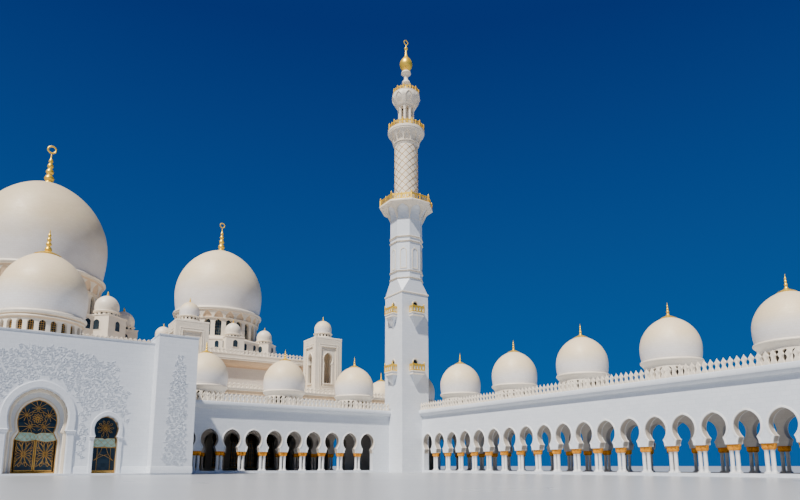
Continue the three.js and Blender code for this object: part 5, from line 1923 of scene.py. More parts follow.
    def rail_panel(self, width: float, height: float, count: int) -> Surface:
        """Gold railing panel, run from -width/2 to width/2 and standing on height 0.

        It has a foot rail, count keyhole-headed lights between thin bars, and a top rail of
        half-round scallops.

        Args:
            width: of the panel.
            height: of the rail.
            count: of the lights.

        Returns:
            The panel, its run about 0 and its foot at height 0.
        """
        pitch = width / count
        opening = arch_outline(pitch * 0.3, height * 0.16, height * 0.5, height * 0.74)
        edge = boxed(opening, (0.0, height * 0.45), (-pitch / 2, 0.0), (pitch / 2, height * 0.86))
        light = pierced(edge, opening, 0.045, -0.045)
        runs = (np.arange(count) - (count - 1) / 2) * pitch
        offsets = np.column_stack([runs, np.zeros(count), np.zeros(count)])
        lights = light.repeated(offsets)
        s = np.linspace(0, np.pi, 7)
        hump = np.column_stack([-pitch / 2 * np.cos(s), height * (0.84 + 0.12 * np.sin(s))])
        base = hump * [1, 0] + [0, height * 0.8]
        edges = ((base, 0.07), (hump, 0.07), (hump, -0.07), (base, -0.07))
        humps = loft(np.stack([sheet(line, depth) for line, depth in edges], 1)).repeated(offsets)
        rail = slab((-width / 2, -0.08, 0.0), (width / 2, 0.08, height * 0.1), 0.015)
        return Surface.join([lights, humps, rail])

    def post(self, height: float, half: float) -> Surface:
        """Gold post with a neck and a pointed knob.

        Args:
            height: of the rail.
            half: half the post's width.

        Returns:
            The post on the origin.
        """
        points = np.array([[1.0, 0.78], [1.25, 0.8], [1.25, 0.84], [0.6, 0.87], [1.1, 0.96], [0.9, 1.04],
                           [0.25, 1.16], [0.01 / half, 1.22]])
        profile = np.vstack([[[0.0, 0.78]], smooth(points, 3), [[0.0, 1.22]]])
        knob = lathe(profile * [half, height], 10)
        return Surface.join([slab((-half, -half, 0), (half, half, height * 0.79), 0.02), knob])

    def polygon_railing(self, apothem: float, sides: int, foot: float, height: float, lights: int) -> Surface:
        """Railing round a polygon, with a post on each corner and one in the middle of each side.

        Args:
            apothem: of the railing.
            sides: how many.
            foot: its height above the ground.
            height: of the rail.
            lights: on each side.

        Returns:
            The railing.
        """
        width = 2 * apothem * math.tan(math.pi / sides)
        panel = self.rail_panel(width / 2 - 0.3, height, lights)
        face = facing_east(apothem)
        halves = [face.place(panel).moved(y=offset) for offset in (-width / 4, width / 4)]
        middle = self.post(height * 0.98, 0.13).moved(x=apothem)
        corner = self.post(height * 1.15, 0.18).moved(x=apothem, y=width / 2)
        side = Surface.join([*halves, middle, corner]).moved(z=foot)
        return side.around(sides)

    def balconies(self) -> tuple[Surface, Surface, Surface]:
        """White moulded shelves, gold railings and dark doors of the eight bracketed balconies.

        Returns:
            The stone, the gold and the dark parts.
        """
        white, gold, dark = [], [], []
        wall, reach, rail_height = facing_east(self.half), self.half + 1.2, 1.62
        arch = Keyhole(foot=0.55, foot_z=1.1, pinch=0.45, cusp_z=1.35, round=0.66, round_z=1.9, apex_z=2.75)
        architrave = np.array([[0.04, -0.35], [0.04, 0.1], [-0.22, 0.1], [-0.26, -0.02], [-0.2, -0.35]])
        for rail in self.rails:
            floor = rail - 1.4
            white.append(slab((self.half - 0.02, -1.58, floor - 0.86), (reach + 0.08, 1.58, floor - 0.52),
                              0.05))
            white.append(slab((self.half - 0.02, -1.66, floor - 0.22), (reach + 0.16, 1.66, floor + 0.1),
                              0.05))
            front = self.rail_panel(3.05, rail_height, 4).moved(z=floor + 0.06)
            gold.append(facing_east(reach + 0.06).place(front))
            side = self.rail_panel(1.2, rail_height, 2).moved(x=self.half + 0.62, z=floor + 0.06)
            gold.append(facing_north(1.56).place(side))
            gold.append(facing_south(-1.56).place(side))
            for y in (-1.53, 1.53):
                gold.append(self.post(1.78, 0.13).moved(x=reach + 0.03, y=y, z=floor + 0.06))
            line = arch.path(0.0, 7, floor + 0.05, floor + 0.05)
            white.append(wall.trim(line, architrave))
            outline = np.vstack([line[1:-1], [[0.0, floor + 1.0]]])
            dark.append(wall.place(pierced(outline, outline * [0.02, 1.0], -0.3, -0.4)))
        return tuple(Surface.join(parts).around(4) for parts in (white, gold, dark))

    def square_trim(self) -> Surface:
        """Thin moulding round the head of the square shaft, where the broaches start.

        Returns:
            The mouldings of the square shaft.
        """
        h = self.half
        square = np.array([[-h, -h], [h, -h], [h, h], [-h, h]])
        section = np.array([[0.05, 39.72], [-0.1, 39.72], [-0.16, 39.82], [-0.16, 39.98], [-0.06, 40.1],
                            [0.1, 40.1]])
        return sweep(square, section, closed=True)

    def slab_edge(self) -> Surface:
        """Slab of the lower balcony with its thin moulded edge.

        Returns:
            The edge of the lower balcony.
        """
        reach, foot, top = self.lower_reach, self.lower_foot, self.lower_top
        profile = np.array([[2.2, foot], [reach - 0.2, foot], [reach - 0.02, foot + 0.1], [reach, foot + 0.2],
                            [reach, top - 0.06], [reach - 0.06, top + 0.02], [2.2, top + 0.02]])
        return octagonal(profile)

    def build(self) -> None:
        """Builds and dresses the minaret's pieces."""
        shelves, rails, doors = self.balconies()
        bands = [self.octagon_band(low, high, reach) for low, high, reach in
                 ((43.3, 43.62, 3.74), (44.95, 45.3, 3.72), (52.0, 52.35, 3.72), (53.15, 53.5, 3.74))]
        piece("minaret_octagon", [self.octagon()], WALL_STONE,
              replaces=["minaret_octagon_and_balcony"], at=self.axis)
        white = [shelves, self.square_trim(), *bands, self.panel_frames(), self.niches(), self.slab_edge()]
        piece("minaret_masonry", white, TRIM_STONE, at=self.axis)
        piece("minaret_upper_shafts", [*self.round_shaft(), *self.lantern()], TRIM_STONE,
              replaces=["minaret_round_shaft_and_balcony", "minaret_lantern"], at=self.axis)
        piece("minaret_net", [self.net()], TRACERY_GOLD, at=self.axis)
        piece("minaret_gold_finial", self.finial(), GOLD, replaces=["minaret_finial"],
              at=self.axis)
        gold = [rails, self.polygon_railing(self.lower_reach - 0.25, 8, self.lower_top + 0.03, 1.5, 4),
                self.polygon_railing(self.upper_reach - 0.28, 12, self.upper_top, 1.2, 2),
                self.polygon_railing(2.98, 12, self.crown_top - 0.03, 0.95, 1)]
        piece("minaret_railings", gold, GOLD, at=self.axis)
        piece("minaret_doors", [doors], DARK_GLASS, at=self.axis)


# Portal

FACADE_X, FACADE_TOP, PORTAL_Y = 10.67, 21.3, -73.0
BLOCK_HALF, PYLON_WIDTH, PYLON_PROUD, PYLON_TOP = 21.7, 6.2, 3.1, 22.4
PORTAL_RECESS = Keyhole(foot=3.85, foot_z=6.3, pinch=3.55, cusp_z=6.6, round=3.85, round_z=8.6, apex_z=12.8)
PORTAL_SCREEN = Keyhole(foot=2.85, foot_z=5.2, pinch=2.3, cusp_z=6.4, round=2.62, round_z=8.2, apex_z=11.3)
SIDE_RECESS = Keyhole(foot=1.75, foot_z=5.6, pinch=1.5, cusp_z=5.9, round=1.78, round_z=7.1, apex_z=9.1)
PORTAL_BAND = Keyhole(foot=4.9, foot_z=6.3, pinch=4.86, cusp_z=6.6, round=4.94, round_z=8.6, apex_z=14.05)
SIDE_BAND = Keyhole(foot=2.28, foot_z=5.6, pinch=2.24, cusp_z=5.9, round=2.3, round_z=7.1, apex_z=9.85)
SIDE_ARCH_OFFSET, RECESS_DEPTH, SIDE_RECESS_DEPTH = 9.3, 2.5, 1.6
SCREEN_X, SIDE_SCREEN_X = FACADE_X - RECESS_DEPTH - 0.25, FACADE_X - SIDE_RECESS_DEPTH
LEAF_HINGE, LEAF_FOOT, LEAF_TOP, LEAF_FRONT = 2.49, 0.51, 5.14, 7.83


def bar(width: float, front: float, back: float = 0.0) -> Array:
    """Section of a raised line on a face: its width across, its front edges eased.

    Args:
        width: across the path.
        front: how far it stands out.
        back: where its back is.

    Returns:
        The section, a closed loop.
    """
    half, ease = width / 2, width * 0.28
    return np.array([[half, back], [half, front - ease], [half - ease, front], [ease - half, front],
                     [-half, front - ease], [-half, back]])


def petal(start: Sequence[float], end: Sequence[float], bulge: float, steps: int = 8) -> Array:
    """Closed lens between two points, its half width the bulge times sin(pi t^1.4), so that it is
    widest beyond its middle.

    Args:
        start: one tip.
        end: the other.
        bulge: its greatest half width.
        steps: points on each side.

    Returns:
        The closed outline.
    """
    start, end = np.asarray(start, float), np.asarray(end, float)
    t = np.linspace(0, 1, steps)[:, None]
    side = np.array([start[1] - end[1], end[0] - start[0]]) / np.linalg.norm(end - start)
    spine = start + (end - start) * t
    swell = bulge * np.sin(np.pi * t ** 1.4) * side
    return np.vstack([spine + swell, (spine - swell)[-2:0:-1]])


def reach_to(origin: Array, direction: Array, outline: Array) -> float:
    """Distance from a point to a closed outline along a direction, the nearest of the crossings.

    Args:
        origin: where the ray starts.
        direction: of the ray.
        outline: the path it meets.

    Returns:
        The distance.
    """
    edge = np.roll(outline, -1, 0) - outline
    across = direction[0] * edge[:, 1] - direction[1] * edge[:, 0]
    across = np.where(np.abs(across) < 1e-9, 1e-9, across)
    rest = outline - origin
    ahead = (rest[:, 0] * edge[:, 1] - rest[:, 1] * edge[:, 0]) / across
    share = (rest[:, 0] * direction[1] - rest[:, 1] * direction[0]) / across
    return float(ahead[(ahead > 1e-6) & (share >= 0) & (share <= 1)].min())


def burst(centre: Sequence[float], rays: int, inner: float, outer: float, bulge: float, outline: Array,
          phase: float = 0.0, far: float | None = None) -> list[Array]:
    """Lenses that radiate from a point and stop at an outline.

    Args:
        centre: point of (run, height).
        rays: how many.
        inner: where they start.
        outer: how long they are.
        bulge: half width of the longest.
        outline: closed outline that none crosses.
        phase: angle of the first.
        far: length of those that reach the outline within it, or None for the same length.

    Returns:
        The outlines of the rays.
    """
    lenses = []
    for angle in phase + np.arange(rays) * 2 * np.pi / rays:
        direction = np.array([math.cos(angle), math.sin(angle)])
        room = reach_to(np.asarray(centre, float), direction, outline)
        length = room if far is not None and room < far else min(outer, room)
        if length > inner + 0.12:
            lenses.append(petal(centre + direction * inner, centre + direction * length,
                                bulge * min(1.0, length / outer)))
    return lenses


def inside(points: Array, outline: Array) -> Array:
    """Whether each point lies in a closed outline: an odd number of edges crosses its level ray.

    Args:
        points: to be tested.
        outline: closed.

    Returns:
        True for the points within it.
    """
    a, b = outline, np.roll(outline, -1, 0)
    x, y = points[:, :1], points[:, 1:2]
    spans = (a[:, 1] > y) != (b[:, 1] > y)
    rise = np.where(b[:, 1] == a[:, 1], 1e-9, b[:, 1] - a[:, 1])
    at = a[:, 0] + (y - a[:, 1]) * (b[:, 0] - a[:, 0]) / rise
    return (spans & (x < at)).sum(1) % 2 == 1


@dataclass
class Portal:
    """Front of the portal block: its arches, screens, doors and carved stone."""

    floor: float = 0.27
    proud: float = 0.24
    line: float = 0.075
    scroll_pitch: float = 0.84
    main_band: tuple[float, ...] = (2.72, 2.22, 5.2, 6.3, 0.24)
    side_band: tuple[float, ...] = (1.68, 1.45, 4.35, 5.65, 0.16)
    seed: int = 7

    def archivolts(self) -> list[Surface]:
        """Flat moulded bands round the three recesses, down to the floor.

        Returns:
            The three bands.
        """
        section = np.array([[-0.03, -0.5], [-0.03, 0.1], [0.03, 0.16], [0.1, 0.16], [0.13, 0.24],
                            [0.87, 0.24], [0.9, 0.17], [1.0, 0.13], [1.0, -0.03]])
        made = [self.archivolt(PORTAL_RECESS, PORTAL_BAND, PORTAL_Y, section)]
        for centre in self.side_centres():
            made.append(self.archivolt(SIDE_RECESS, SIDE_BAND, centre, section * [1.0, 0.75]))
        return made

    def archivolt(self, inner: Keyhole, outer: Keyhole, centre: float, section: Array) -> Surface:
        """Band between two keyholes: path point = inner + (outer - inner) x section[0], and
        section[1] outwards.

        Args:
            inner: the recess.
            outer: the band's outer edge.
            centre: run of the middle.
            section: share of the way from inner to outer, and distance outwards.

        Returns:
            The band.
        """
        near, far = (arch.path(centre, 14, self.floor)[:, None] for arch in (inner, outer))
        plane = near + (far - near) * section[None, :, :1]
        out = np.broadcast_to(section[None, :, 1], plane.shape[:2])
        return facing_east(FACADE_X).place(loft(np.stack([plane[..., 0], out, plane[..., 1]], -1)).flipped())

    def impost(self, centre: float, inner: float, outer: float, low: float, size: float) -> list[Surface]:
        """Moulded blocks at the feet of an arch, wrapped round its band and back into the reveal.

        Args:
            centre: run of the arch's middle.
            inner: half the opening's width.
            outer: half the band's width.
            low: height of its foot.
            size: its height over 0.9.

        Returns:
            The blocks on both sides.
        """
        section = np.array([[-0.2, 0.0], [0.02, 0.0], [0.04, 0.12], [0.12, 0.3], [0.16, 0.42], [0.08, 0.5],
                            [0.17, 0.6], [0.19, 0.78], [0.1, 0.9], [-0.2, 0.9]]) * size + [0.0, low]
        made = []
        for side in (-1, 1):
            runs = centre + side * np.array([inner, inner, outer, outer])
            path = np.column_stack([FACADE_X + np.array([-0.9, self.proud, self.proud, -0.02]), runs])
            made.append(sweep(path, section * [-side, 1.0]))
        return made

    def reveals(self) -> list[Surface]:
        """Linings of the recesses, smooth over the plain solid's facets.

        Returns:
            The three linings.
        """
        face = facing_east(FACADE_X)
        deep = np.array([[0.04, -0.45], [0.04, -1.5], [0.02, -1.52], [-0.05, -1.52], [-0.05, -0.45]])
        shallow = np.array([[0.04, -0.35], [0.04, -SIDE_RECESS_DEPTH + 0.01],
                            [-0.05, -SIDE_RECESS_DEPTH + 0.01], [-0.05, -0.35]])
        made = [face.trim(PORTAL_RECESS.path(PORTAL_Y, 14, self.floor), deep)]
        for centre in self.side_centres():
            made.append(face.trim(SIDE_RECESS.path(centre, 10, self.floor), shallow))
        return made

    def inner_order(self) -> list[Surface]:
        """Stepped inner arch of the main recess and the moulding round its screen.

        Returns:
            The inner arch and the moulding.
        """
        face = facing_east(FACADE_X)
        step = np.array([[0.34, -1.5], [0.42, -1.58], [0.42, -2.0], [0.38, -2.04], [0.38, -2.52],
                         [-0.05, -2.52], [-0.05, -1.5]])
        hood = np.array([[-0.02, -2.74], [-0.02, -2.44], [-0.06, -2.36], [-0.2, -2.34], [-0.26, -2.4],
                         [-0.34, -2.42], [-0.36, -2.52], [-0.3, -2.74]])
        return [face.trim(PORTAL_RECESS.path(PORTAL_Y, 14, self.floor), step),
                face.trim(PORTAL_SCREEN.path(PORTAL_Y, 12, self.floor), hood)]

    def lattice(self, face: Facade, lines: list[Array], centre: float, width: float, front: float = 0.1,
                closed: bool = True) -> list[Surface]:
        """Raised lines on a face, each given about the centre of its panel."""
        section = bar(width, front)
        return [face.trim(line + [centre, 0.0], section, closed) for line in lines]

    def tympanum(self) -> list[Surface]:
        """Gold lines over the main doors: a rosette within five stars whose rays reach the frame.

        Returns:
            The lines.
        """
        face = facing_east(SCREEN_X)
        edge = PORTAL_SCREEN.path(0.0, 12)
        outline = edge[(edge[:, 1] > 6.25)] * [0.985, 1.0]
        middle = np.array([0.0, 8.45])
        lenses = burst(middle, 10, 0.1, 0.72, 0.125, outline, math.pi / 2)
        tips = np.pi / 2 + np.arange(20) * np.pi / 10
        reach = np.where(np.arange(20) % 2, 0.92, 1.14)[:, None]
        flower = middle + reach * np.column_stack([np.cos(tips), np.sin(tips)])
        made = self.lattice(face, [*lenses, flower], PORTAL_Y, self.line)
        rays = []
        for turn in math.pi / 2 + np.arange(5) * 2 * np.pi / 5:
            star = middle + 1.55 * np.array([math.cos(turn), math.sin(turn)])
            rays += self.star(star, turn, outline)
            knot = 0.1 * np.column_stack([np.cos(tips[::2]), np.sin(tips[::2])])
            made += self.lattice(face, [star + knot], PORTAL_Y, 0.06)
        return made + self.lattice(face, rays, PORTAL_Y, self.line, closed=False)

    def star(self, centre: Array, turn: float, outline: Array) -> list[Array]:
        """Ten rays of a star: outward ones reach the frame, side ones the next stars, inner ones
        the rosette.

        Args:
            centre: of the star.
            turn: angle of its first ray.
            outline: where the rays end.

        Returns:
            The outlines of its rays.
        """
        rays = []
        for angle in turn + np.pi / 10 + np.arange(10) * np.pi / 5:
            direction = np.array([math.cos(angle), math.sin(angle)])
            outward = math.cos(angle - turn)
            length = 1.6 if outward > 0.2 else 0.93 if outward > -0.7 else 0.46
            rays.append(np.stack([centre + direction * 0.05,
                                  centre + direction * min(length, reach_to(centre, direction, outline))]))
        return rays

    def band_outline(self, half_low: float, half_high: float, low: float, high: float, dip: float) -> Array:
        """Outline of the coloured band: its top dips in the middle and its foot at the quarters.

        Args:
            half_low: half the width of its foot.
            half_high: half the width of its top.
            low: height of its foot.
            high: height of its top.
            dip: of the two edges.

        Returns:
            The closed outline about run 0.
        """
        t = np.linspace(-1, 1, 17)
        foot = np.column_stack([t * half_low, low - dip * np.sin(np.pi * np.abs(t)) ** 2])
        head = np.column_stack([t * half_high, high - dip * np.clip(1 - np.abs(t) * 4, 0, 1)])
        return np.vstack([foot, head[::-1]])

    def band_lines(self, half: float, low: float, high: float, crossings: Sequence[float]) -> list[Array]:
        """Two zigzags that cross on the band's middle line, so their diamonds narrow to the middle.

        Args:
            half: half the band's width.
            low: its foot.
            high: its top.
            crossings: where they cross, as shares of the half.

        Returns:
            The two lines.
        """
        marks = np.array(sorted([-c for c in crossings] + list(crossings))) * half
        peaks = (marks[1:] + marks[:-1]) / 2
        middle = (low + high) / 2
        lines = []
        for sign in (1, -1):
            heights = middle + sign * (high - low) / 2 * 0.86 * (-1.0) ** np.arange(len(peaks))
            path = np.empty((len(marks) + len(peaks), 2))
            path[0::2] = np.column_stack([marks, np.full(len(marks), middle)])
            path[1::2] = np.column_stack([peaks, heights])
            lines.append(path)
        return lines

    def screen_frames(self) -> list[Surface]:
        """Gilt frames, band edges and thresholds of the main screen and the two side screens.

        Returns:
            The frames, edges and thresholds.
        """
        section = np.array([[0.14, 0.0], [0.14, 0.08], [0.1, 0.13], [0.02, 0.13], [-0.03, 0.1], [-0.03, 0.0]])
        face = facing_east(SCREEN_X)
        made = [face.trim(PORTAL_SCREEN.path(PORTAL_Y, 12, self.floor), section)]
        made.append(face.trim(self.band_outline(*self.main_band) + [PORTAL_Y, 0.0], bar(0.07, 0.13), True))
        made += self.lattice(face, self.band_lines(2.55, 5.12, 6.25, (0.09, 0.3, 0.58, 1.0)), PORTAL_Y, 0.05,
                             0.12, False)
        made.append(slab((SCREEN_X - 0.02, PORTAL_Y - 2.67, 0.26), (SCREEN_X + 0.2, PORTAL_Y + 2.67, 0.46),
                         0.03))
        face = facing_east(SIDE_SCREEN_X)
        for centre in self.side_centres():
            made.append(face.trim(SIDE_RECESS.path(centre, 10, self.floor), section * [0.9, 1.0]))
            made.append(face.trim(self.band_outline(*self.side_band) + [centre, 0.0], bar(0.07, 0.13), True))
            made += self.lattice(face, self.band_lines(1.5, 4.4, 5.6, (0.3, 1.0)), centre, 0.05, 0.12, False)
            for half, foot, top, out in ((1.7, 0.26, 0.7, 0.15), (1.72, 4.16, 4.3, 0.1)):
                low = (SIDE_SCREEN_X - 0.02, centre - half, foot)
                made.append(slab(low, (SIDE_SCREEN_X + out, centre + half, top), 0.03))
        return made

    def side_centres(self) -> tuple[float, float]:
        """Middles of the side arches."""
        return PORTAL_Y - SIDE_ARCH_OFFSET, PORTAL_Y + SIDE_ARCH_OFFSET

    def side_lattice(self) -> list[Surface]:
        """Rosette in the head of each side screen and crossing curves below its band.

        Returns:
            The lines of both side screens.
        """
        face = facing_east(SIDE_SCREEN_X)
        edge = SIDE_RECESS.path(0.0, 10)
        outline = edge[edge[:, 1] > 5.7] * [0.98, 1.0]
        middle = np.array([0.0, 7.25])
        lines = burst(middle, 10, 0.06, 0.62, 0.1, outline, math.pi / 2)
        lines += burst(middle, 10, 0.6, 1.2, 0.14, outline, math.pi / 2 + math.pi / 10, 1.7)
        t = np.linspace(0, 1, 10)
        curve = np.column_stack([0.35 + t ** 1.6, 4.1 - 1.9 * t])
        lower = np.column_stack([1.35 - 1.9 * t, 2.2 + 0.9 * np.sin(np.pi * t * 0.5)])
        upright = np.array([[0.95, 0.7], [0.95, 4.2]])
        strands = [line * [side, 1] for line in (curve, lower, upright) for side in (1, -1)]
        made = []
        for centre in self.side_centres():
            made += self.lattice(face, lines, centre, 0.06)
            made += self.lattice(face, strands, centre, 0.06, closed=False)
        return made

    def bands(self) -> list[Surface]:
        """Coloured glass bands of the three screens.

        Returns:
            The three bands.
        """
        face = facing_east(SCREEN_X)
        made = [face.plate(self.band_outline(*self.main_band) + [PORTAL_Y, 0.0], 0.07, 0.01)]
        face = facing_east(SIDE_SCREEN_X)
        outline = self.band_outline(*self.side_band)
        return made + [face.plate(outline + [centre, 0.0], 0.07, -0.01) for centre in self.side_centres()]

    def leaf(self, side: int) -> tuple[list[Surface], Surface]:
        """Gold lattice of a door leaf with its half of the mullion, and its pane.

        Args:
            side: 1 for the north leaf, -1 for the south one.

        Returns:
            The metal parts and the pane.
        """
        face = facing_east(LEAF_FRONT)
        low, high = LEAF_FOOT + 0.12, LEAF_TOP - 0.1
        inner, outer = 0.34, LEAF_HINGE - 0.02
        edge = np.array([[inner, low], [outer, low], [outer, high], [inner, high]])
        middle = np.array([(inner + outer) / 2, 3.1])
        lines = burst(middle, 12, 0.07, 1.5, 0.22, edge, math.pi / 2, 2.2)
        lines += burst(middle, 12, 1.15, 1.9, 0.16, edge, math.pi / 2 + math.pi / 12, 2.4)
        made = self.lattice(face, [line * [side, 1.0] for line in lines], PORTAL_Y, 0.075, 0.035)
        spans = sorted((PORTAL_Y + side * 0.03, PORTAL_Y + side * 0.2))
        made.append(slab((LEAF_FRONT - 0.02, spans[0], LEAF_FOOT + 0.02),
                         (LEAF_FRONT + 0.04, spans[1], LEAF_TOP - 0.02), 0.015))
        for z0, z1 in ((LEAF_FOOT + 0.02, LEAF_FOOT + 0.24), (LEAF_TOP - 0.12, LEAF_TOP - 0.02)):
            runs = sorted((PORTAL_Y + side * 0.2, PORTAL_Y + side * (LEAF_HINGE - 0.02)))
            made.append(slab((LEAF_FRONT - 0.02, runs[0], z0), (LEAF_FRONT + 0.03, runs[1], z1), 0.012))
        runs = sorted((PORTAL_Y + side * 0.2, PORTAL_Y + side * (LEAF_HINGE - 0.13)))
        pane = slab((LEAF_FRONT - 0.01, runs[0], LEAF_FOOT + 0.2),
                    (LEAF_FRONT + 0.012, runs[1], LEAF_TOP - 0.1), 0.005)
        return made, pane

    def scroll(self, size: float, hand: int) -> Surface:
        """One carved scroll in a plane: a spiral stem, leaves that leave it outwards, and a flower.

        The stem's radius grows evenly with its angle over one and a quarter turns. A leaf is a
        ridge whose half width follows the sine of its length.

        Args:
            size: about its radius.
            hand: 1 or -1, the way it turns.

        Returns:
            The scroll about the origin, its relief along Z.
        """
        s = np.linspace(0, 1, 11)
        angle, radius = 2.5 * np.pi * s, 0.14 + 0.42 * s
        stem = sweep(np.column_stack([radius * np.cos(angle), radius * np.sin(angle)]),
                     np.array([[0.035, -0.03], [0.0, 0.06], [-0.035, -0.03]]))
        t = np.linspace(0, 1, 4)
        half = 0.085 * np.sin(np.pi * np.clip(t, 0.08, 0.97) ** 0.75)
        lean = 0.1 * t ** 2
        shape = np.stack([np.column_stack([0.36 * t, lean - half, np.full(4, -0.03)]),
                          np.column_stack([0.36 * t, lean, 0.035 + 0.05 * np.sin(np.pi * t)]),
                          np.column_stack([0.36 * t, lean + half, np.full(4, -0.03)])], 1)
        leaf = loft(shape)
        turns = 2.5 * np.pi * np.linspace(0.3, 1.0, 6)
        reach = 0.14 + 0.42 * np.linspace(0.3, 1.0, 6)
        places = np.column_stack([reach * np.cos(turns), reach * np.sin(turns), np.zeros(6)])
        leaves = leaf.repeated(places, turns + np.where(np.arange(6) % 2, 0.5, 2.4))
        flower = lathe([[0, -0.03], [0.12, -0.03], [0.09, 0.05], [0.0, 0.08]], 6)
        unit = Surface.join([stem, leaves, flower])
        scaled = unit.mapped(lambda points: points * [size * hand, size, 0.6 + 0.4 * size])
        return scaled if hand > 0 else scaled.flipped()

    def carve(self, face: Facade, spots: Array, size: float, random: np.random.Generator) -> list[Surface]:
        """Scrolls at the spots of (run, height), each turned at random, half of them mirrored.

        Args:
            face: the wall's face.
            spots: middles of the scrolls.
            size: about their radius.
            random: draws their kinds and turns.

        Returns:
            The scrolls on the wall.
        """
        made = []
        order = random.integers(0, 4, len(spots))
        for kind, (share, hand) in enumerate(((1.0, 1), (1.12, -1), (0.86, 1), (0.95, -1))):
            chosen = spots[order == kind]
            offsets = np.column_stack([chosen, np.zeros(len(chosen))])
            turns = random.uniform(0, 2 * np.pi, len(chosen))
            unit = self.scroll(size * share, hand).repeated(offsets, turns)
            made.append(face.place(unit.mapped(lambda points: points[:, [0, 2, 1]]).flipped()))
        return made

    def field(self, low: Sequence[float], high: Sequence[float], pitch: float,
              random: np.random.Generator) -> Array:
        """Spots of a staggered grid over a rectangle, each moved a little at random.

        Args:
            low: lower corner.
            high: upper corner.
            pitch: of the rows.
            random: draws the shifts.

        Returns:
            The scrolls' middles.
        """
        runs = np.arange(low[0], high[0], pitch)
        levels = np.arange(low[1], high[1], pitch * 0.88)
        u, v = np.meshgrid(runs, levels)
        u = u + (np.arange(len(levels)) % 2)[:, None] * pitch / 2
        spots = np.column_stack([u.reshape(-1), v.reshape(-1)])
        return spots + random.uniform(-0.13, 0.13, spots.shape)

    def facade_relief(self, random: np.random.Generator) -> list[Surface]:
        """Carving round the arches, between an outline that narrows upwards and the three bands.

        Args:
            random: draws the scrolls' places and turns.

        Returns:
            The carving of the wall.
        """
        spots = self.field((-12.4, 2.6), (12.6, 19.4), self.scroll_pitch, random)
        level = spots[:, 1]
        reach = np.interp(level, [2.5, 5.0, 13.0, 14.2, 17.6, 18.2, 19.4],
                          [11.0, 12.1, 12.0, 10.6, 9.9, 6.5, 2.0])
        keep = np.abs(spots[:, 0]) < reach
        arches = ((PORTAL_RECESS, 0.0, 1.62), (SIDE_RECESS, -SIDE_ARCH_OFFSET, 1.1),
                  (SIDE_RECESS, SIDE_ARCH_OFFSET, 1.1))
        for arch, centre, margin in arches:
            edge = arch.path(centre, 24, 0.0)
            legs = np.column_stack([np.repeat([centre - arch.foot, centre + arch.foot], 14),
                                    np.tile(np.linspace(0, arch.foot_z, 14), 2)])
            marks = np.vstack([edge, legs])
            away = np.linalg.norm(spots[:, None] - marks[None], axis=2).min(1)
            keep &= (away > margin) & ~inside(spots, edge)
        return self.carve(facing_east(FACADE_X), spots[keep] + [PORTAL_Y, 0.0], 0.74, random)

    def pylon_relief(self, random: np.random.Generator) -> list[Surface]:
        """Tapering strip of carving up each pylon.

        Args:
            random: draws the scrolls' places and turns.

        Returns:
            The carving of the pylons.
        """
        made = []
        for side in (-1, 1):
            spots = self.field((-1.8, 1.6), (1.9, 19.5), 0.6, random)
            reach = np.interp(spots[:, 1], [1.6, 6.0, 12.0, 17.0, 19.4], [1.8, 1.6, 1.35, 0.95, 0.3])
            kept = spots[np.abs(spots[:, 0]) < reach]
            middle = PORTAL_Y + side * (BLOCK_HALF - PYLON_WIDTH / 2)
            made += self.carve(facing_east(FACADE_X + PYLON_PROUD), kept + [middle + 0.3, 0.0], 0.5, random)
        return made

    def plinths(self) -> list[Surface]:
        """Low plinth courses along the front and round the pylons, and copings on their tops.

        Returns:
            The foot mouldings and the copings.
        """
        section = np.array([[-0.03, 0.26], [0.07, 0.26], [0.07, 1.22], [0.03, 1.3], [-0.03, 1.32]])
        coping = np.array([[-0.4, -0.22], [0.05, -0.22], [0.09, -0.16], [0.09, 0.05], [-0.4, 0.05]])
        made = []
        stops = [1.06 + PORTAL_RECESS.foot, SIDE_ARCH_OFFSET - SIDE_RECESS.foot - 0.54,
                 SIDE_ARCH_OFFSET + SIDE_RECESS.foot + 0.54, BLOCK_HALF - PYLON_WIDTH]
        for side in (-1, 1):
            for start, end in (stops[:2], stops[2:]):
                runs = PORTAL_Y + side * np.array([start, end])
                made.append(sweep(np.column_stack([np.full(2, FACADE_X), runs]), section * [-side, 1.0]))
            near, far = PORTAL_Y + side * (BLOCK_HALF - PYLON_WIDTH), PORTAL_Y + side * BLOCK_HALF
            front, back = FACADE_X + PYLON_PROUD, FACADE_X - 3.5
            base = np.array([[FACADE_X, near], [front, near], [front, far], [back, far]])
            made.append(sweep(base, section * [-side, 1.0]))
            top = np.array([[back, near], [front, near], [front, far], [back, far]])
            made.append(sweep(top, (coping + [0.0, PYLON_TOP]) * [-side, 1.0], closed=True))
        runs = PORTAL_Y + (BLOCK_HALF - PYLON_WIDTH) * np.array([-1.0, 1.0])
        made.append(sweep(np.column_stack([np.full(2, FACADE_X), runs]),
                          (coping + [0.0, FACADE_TOP]) * [-1.0, 1.0]))
        return made

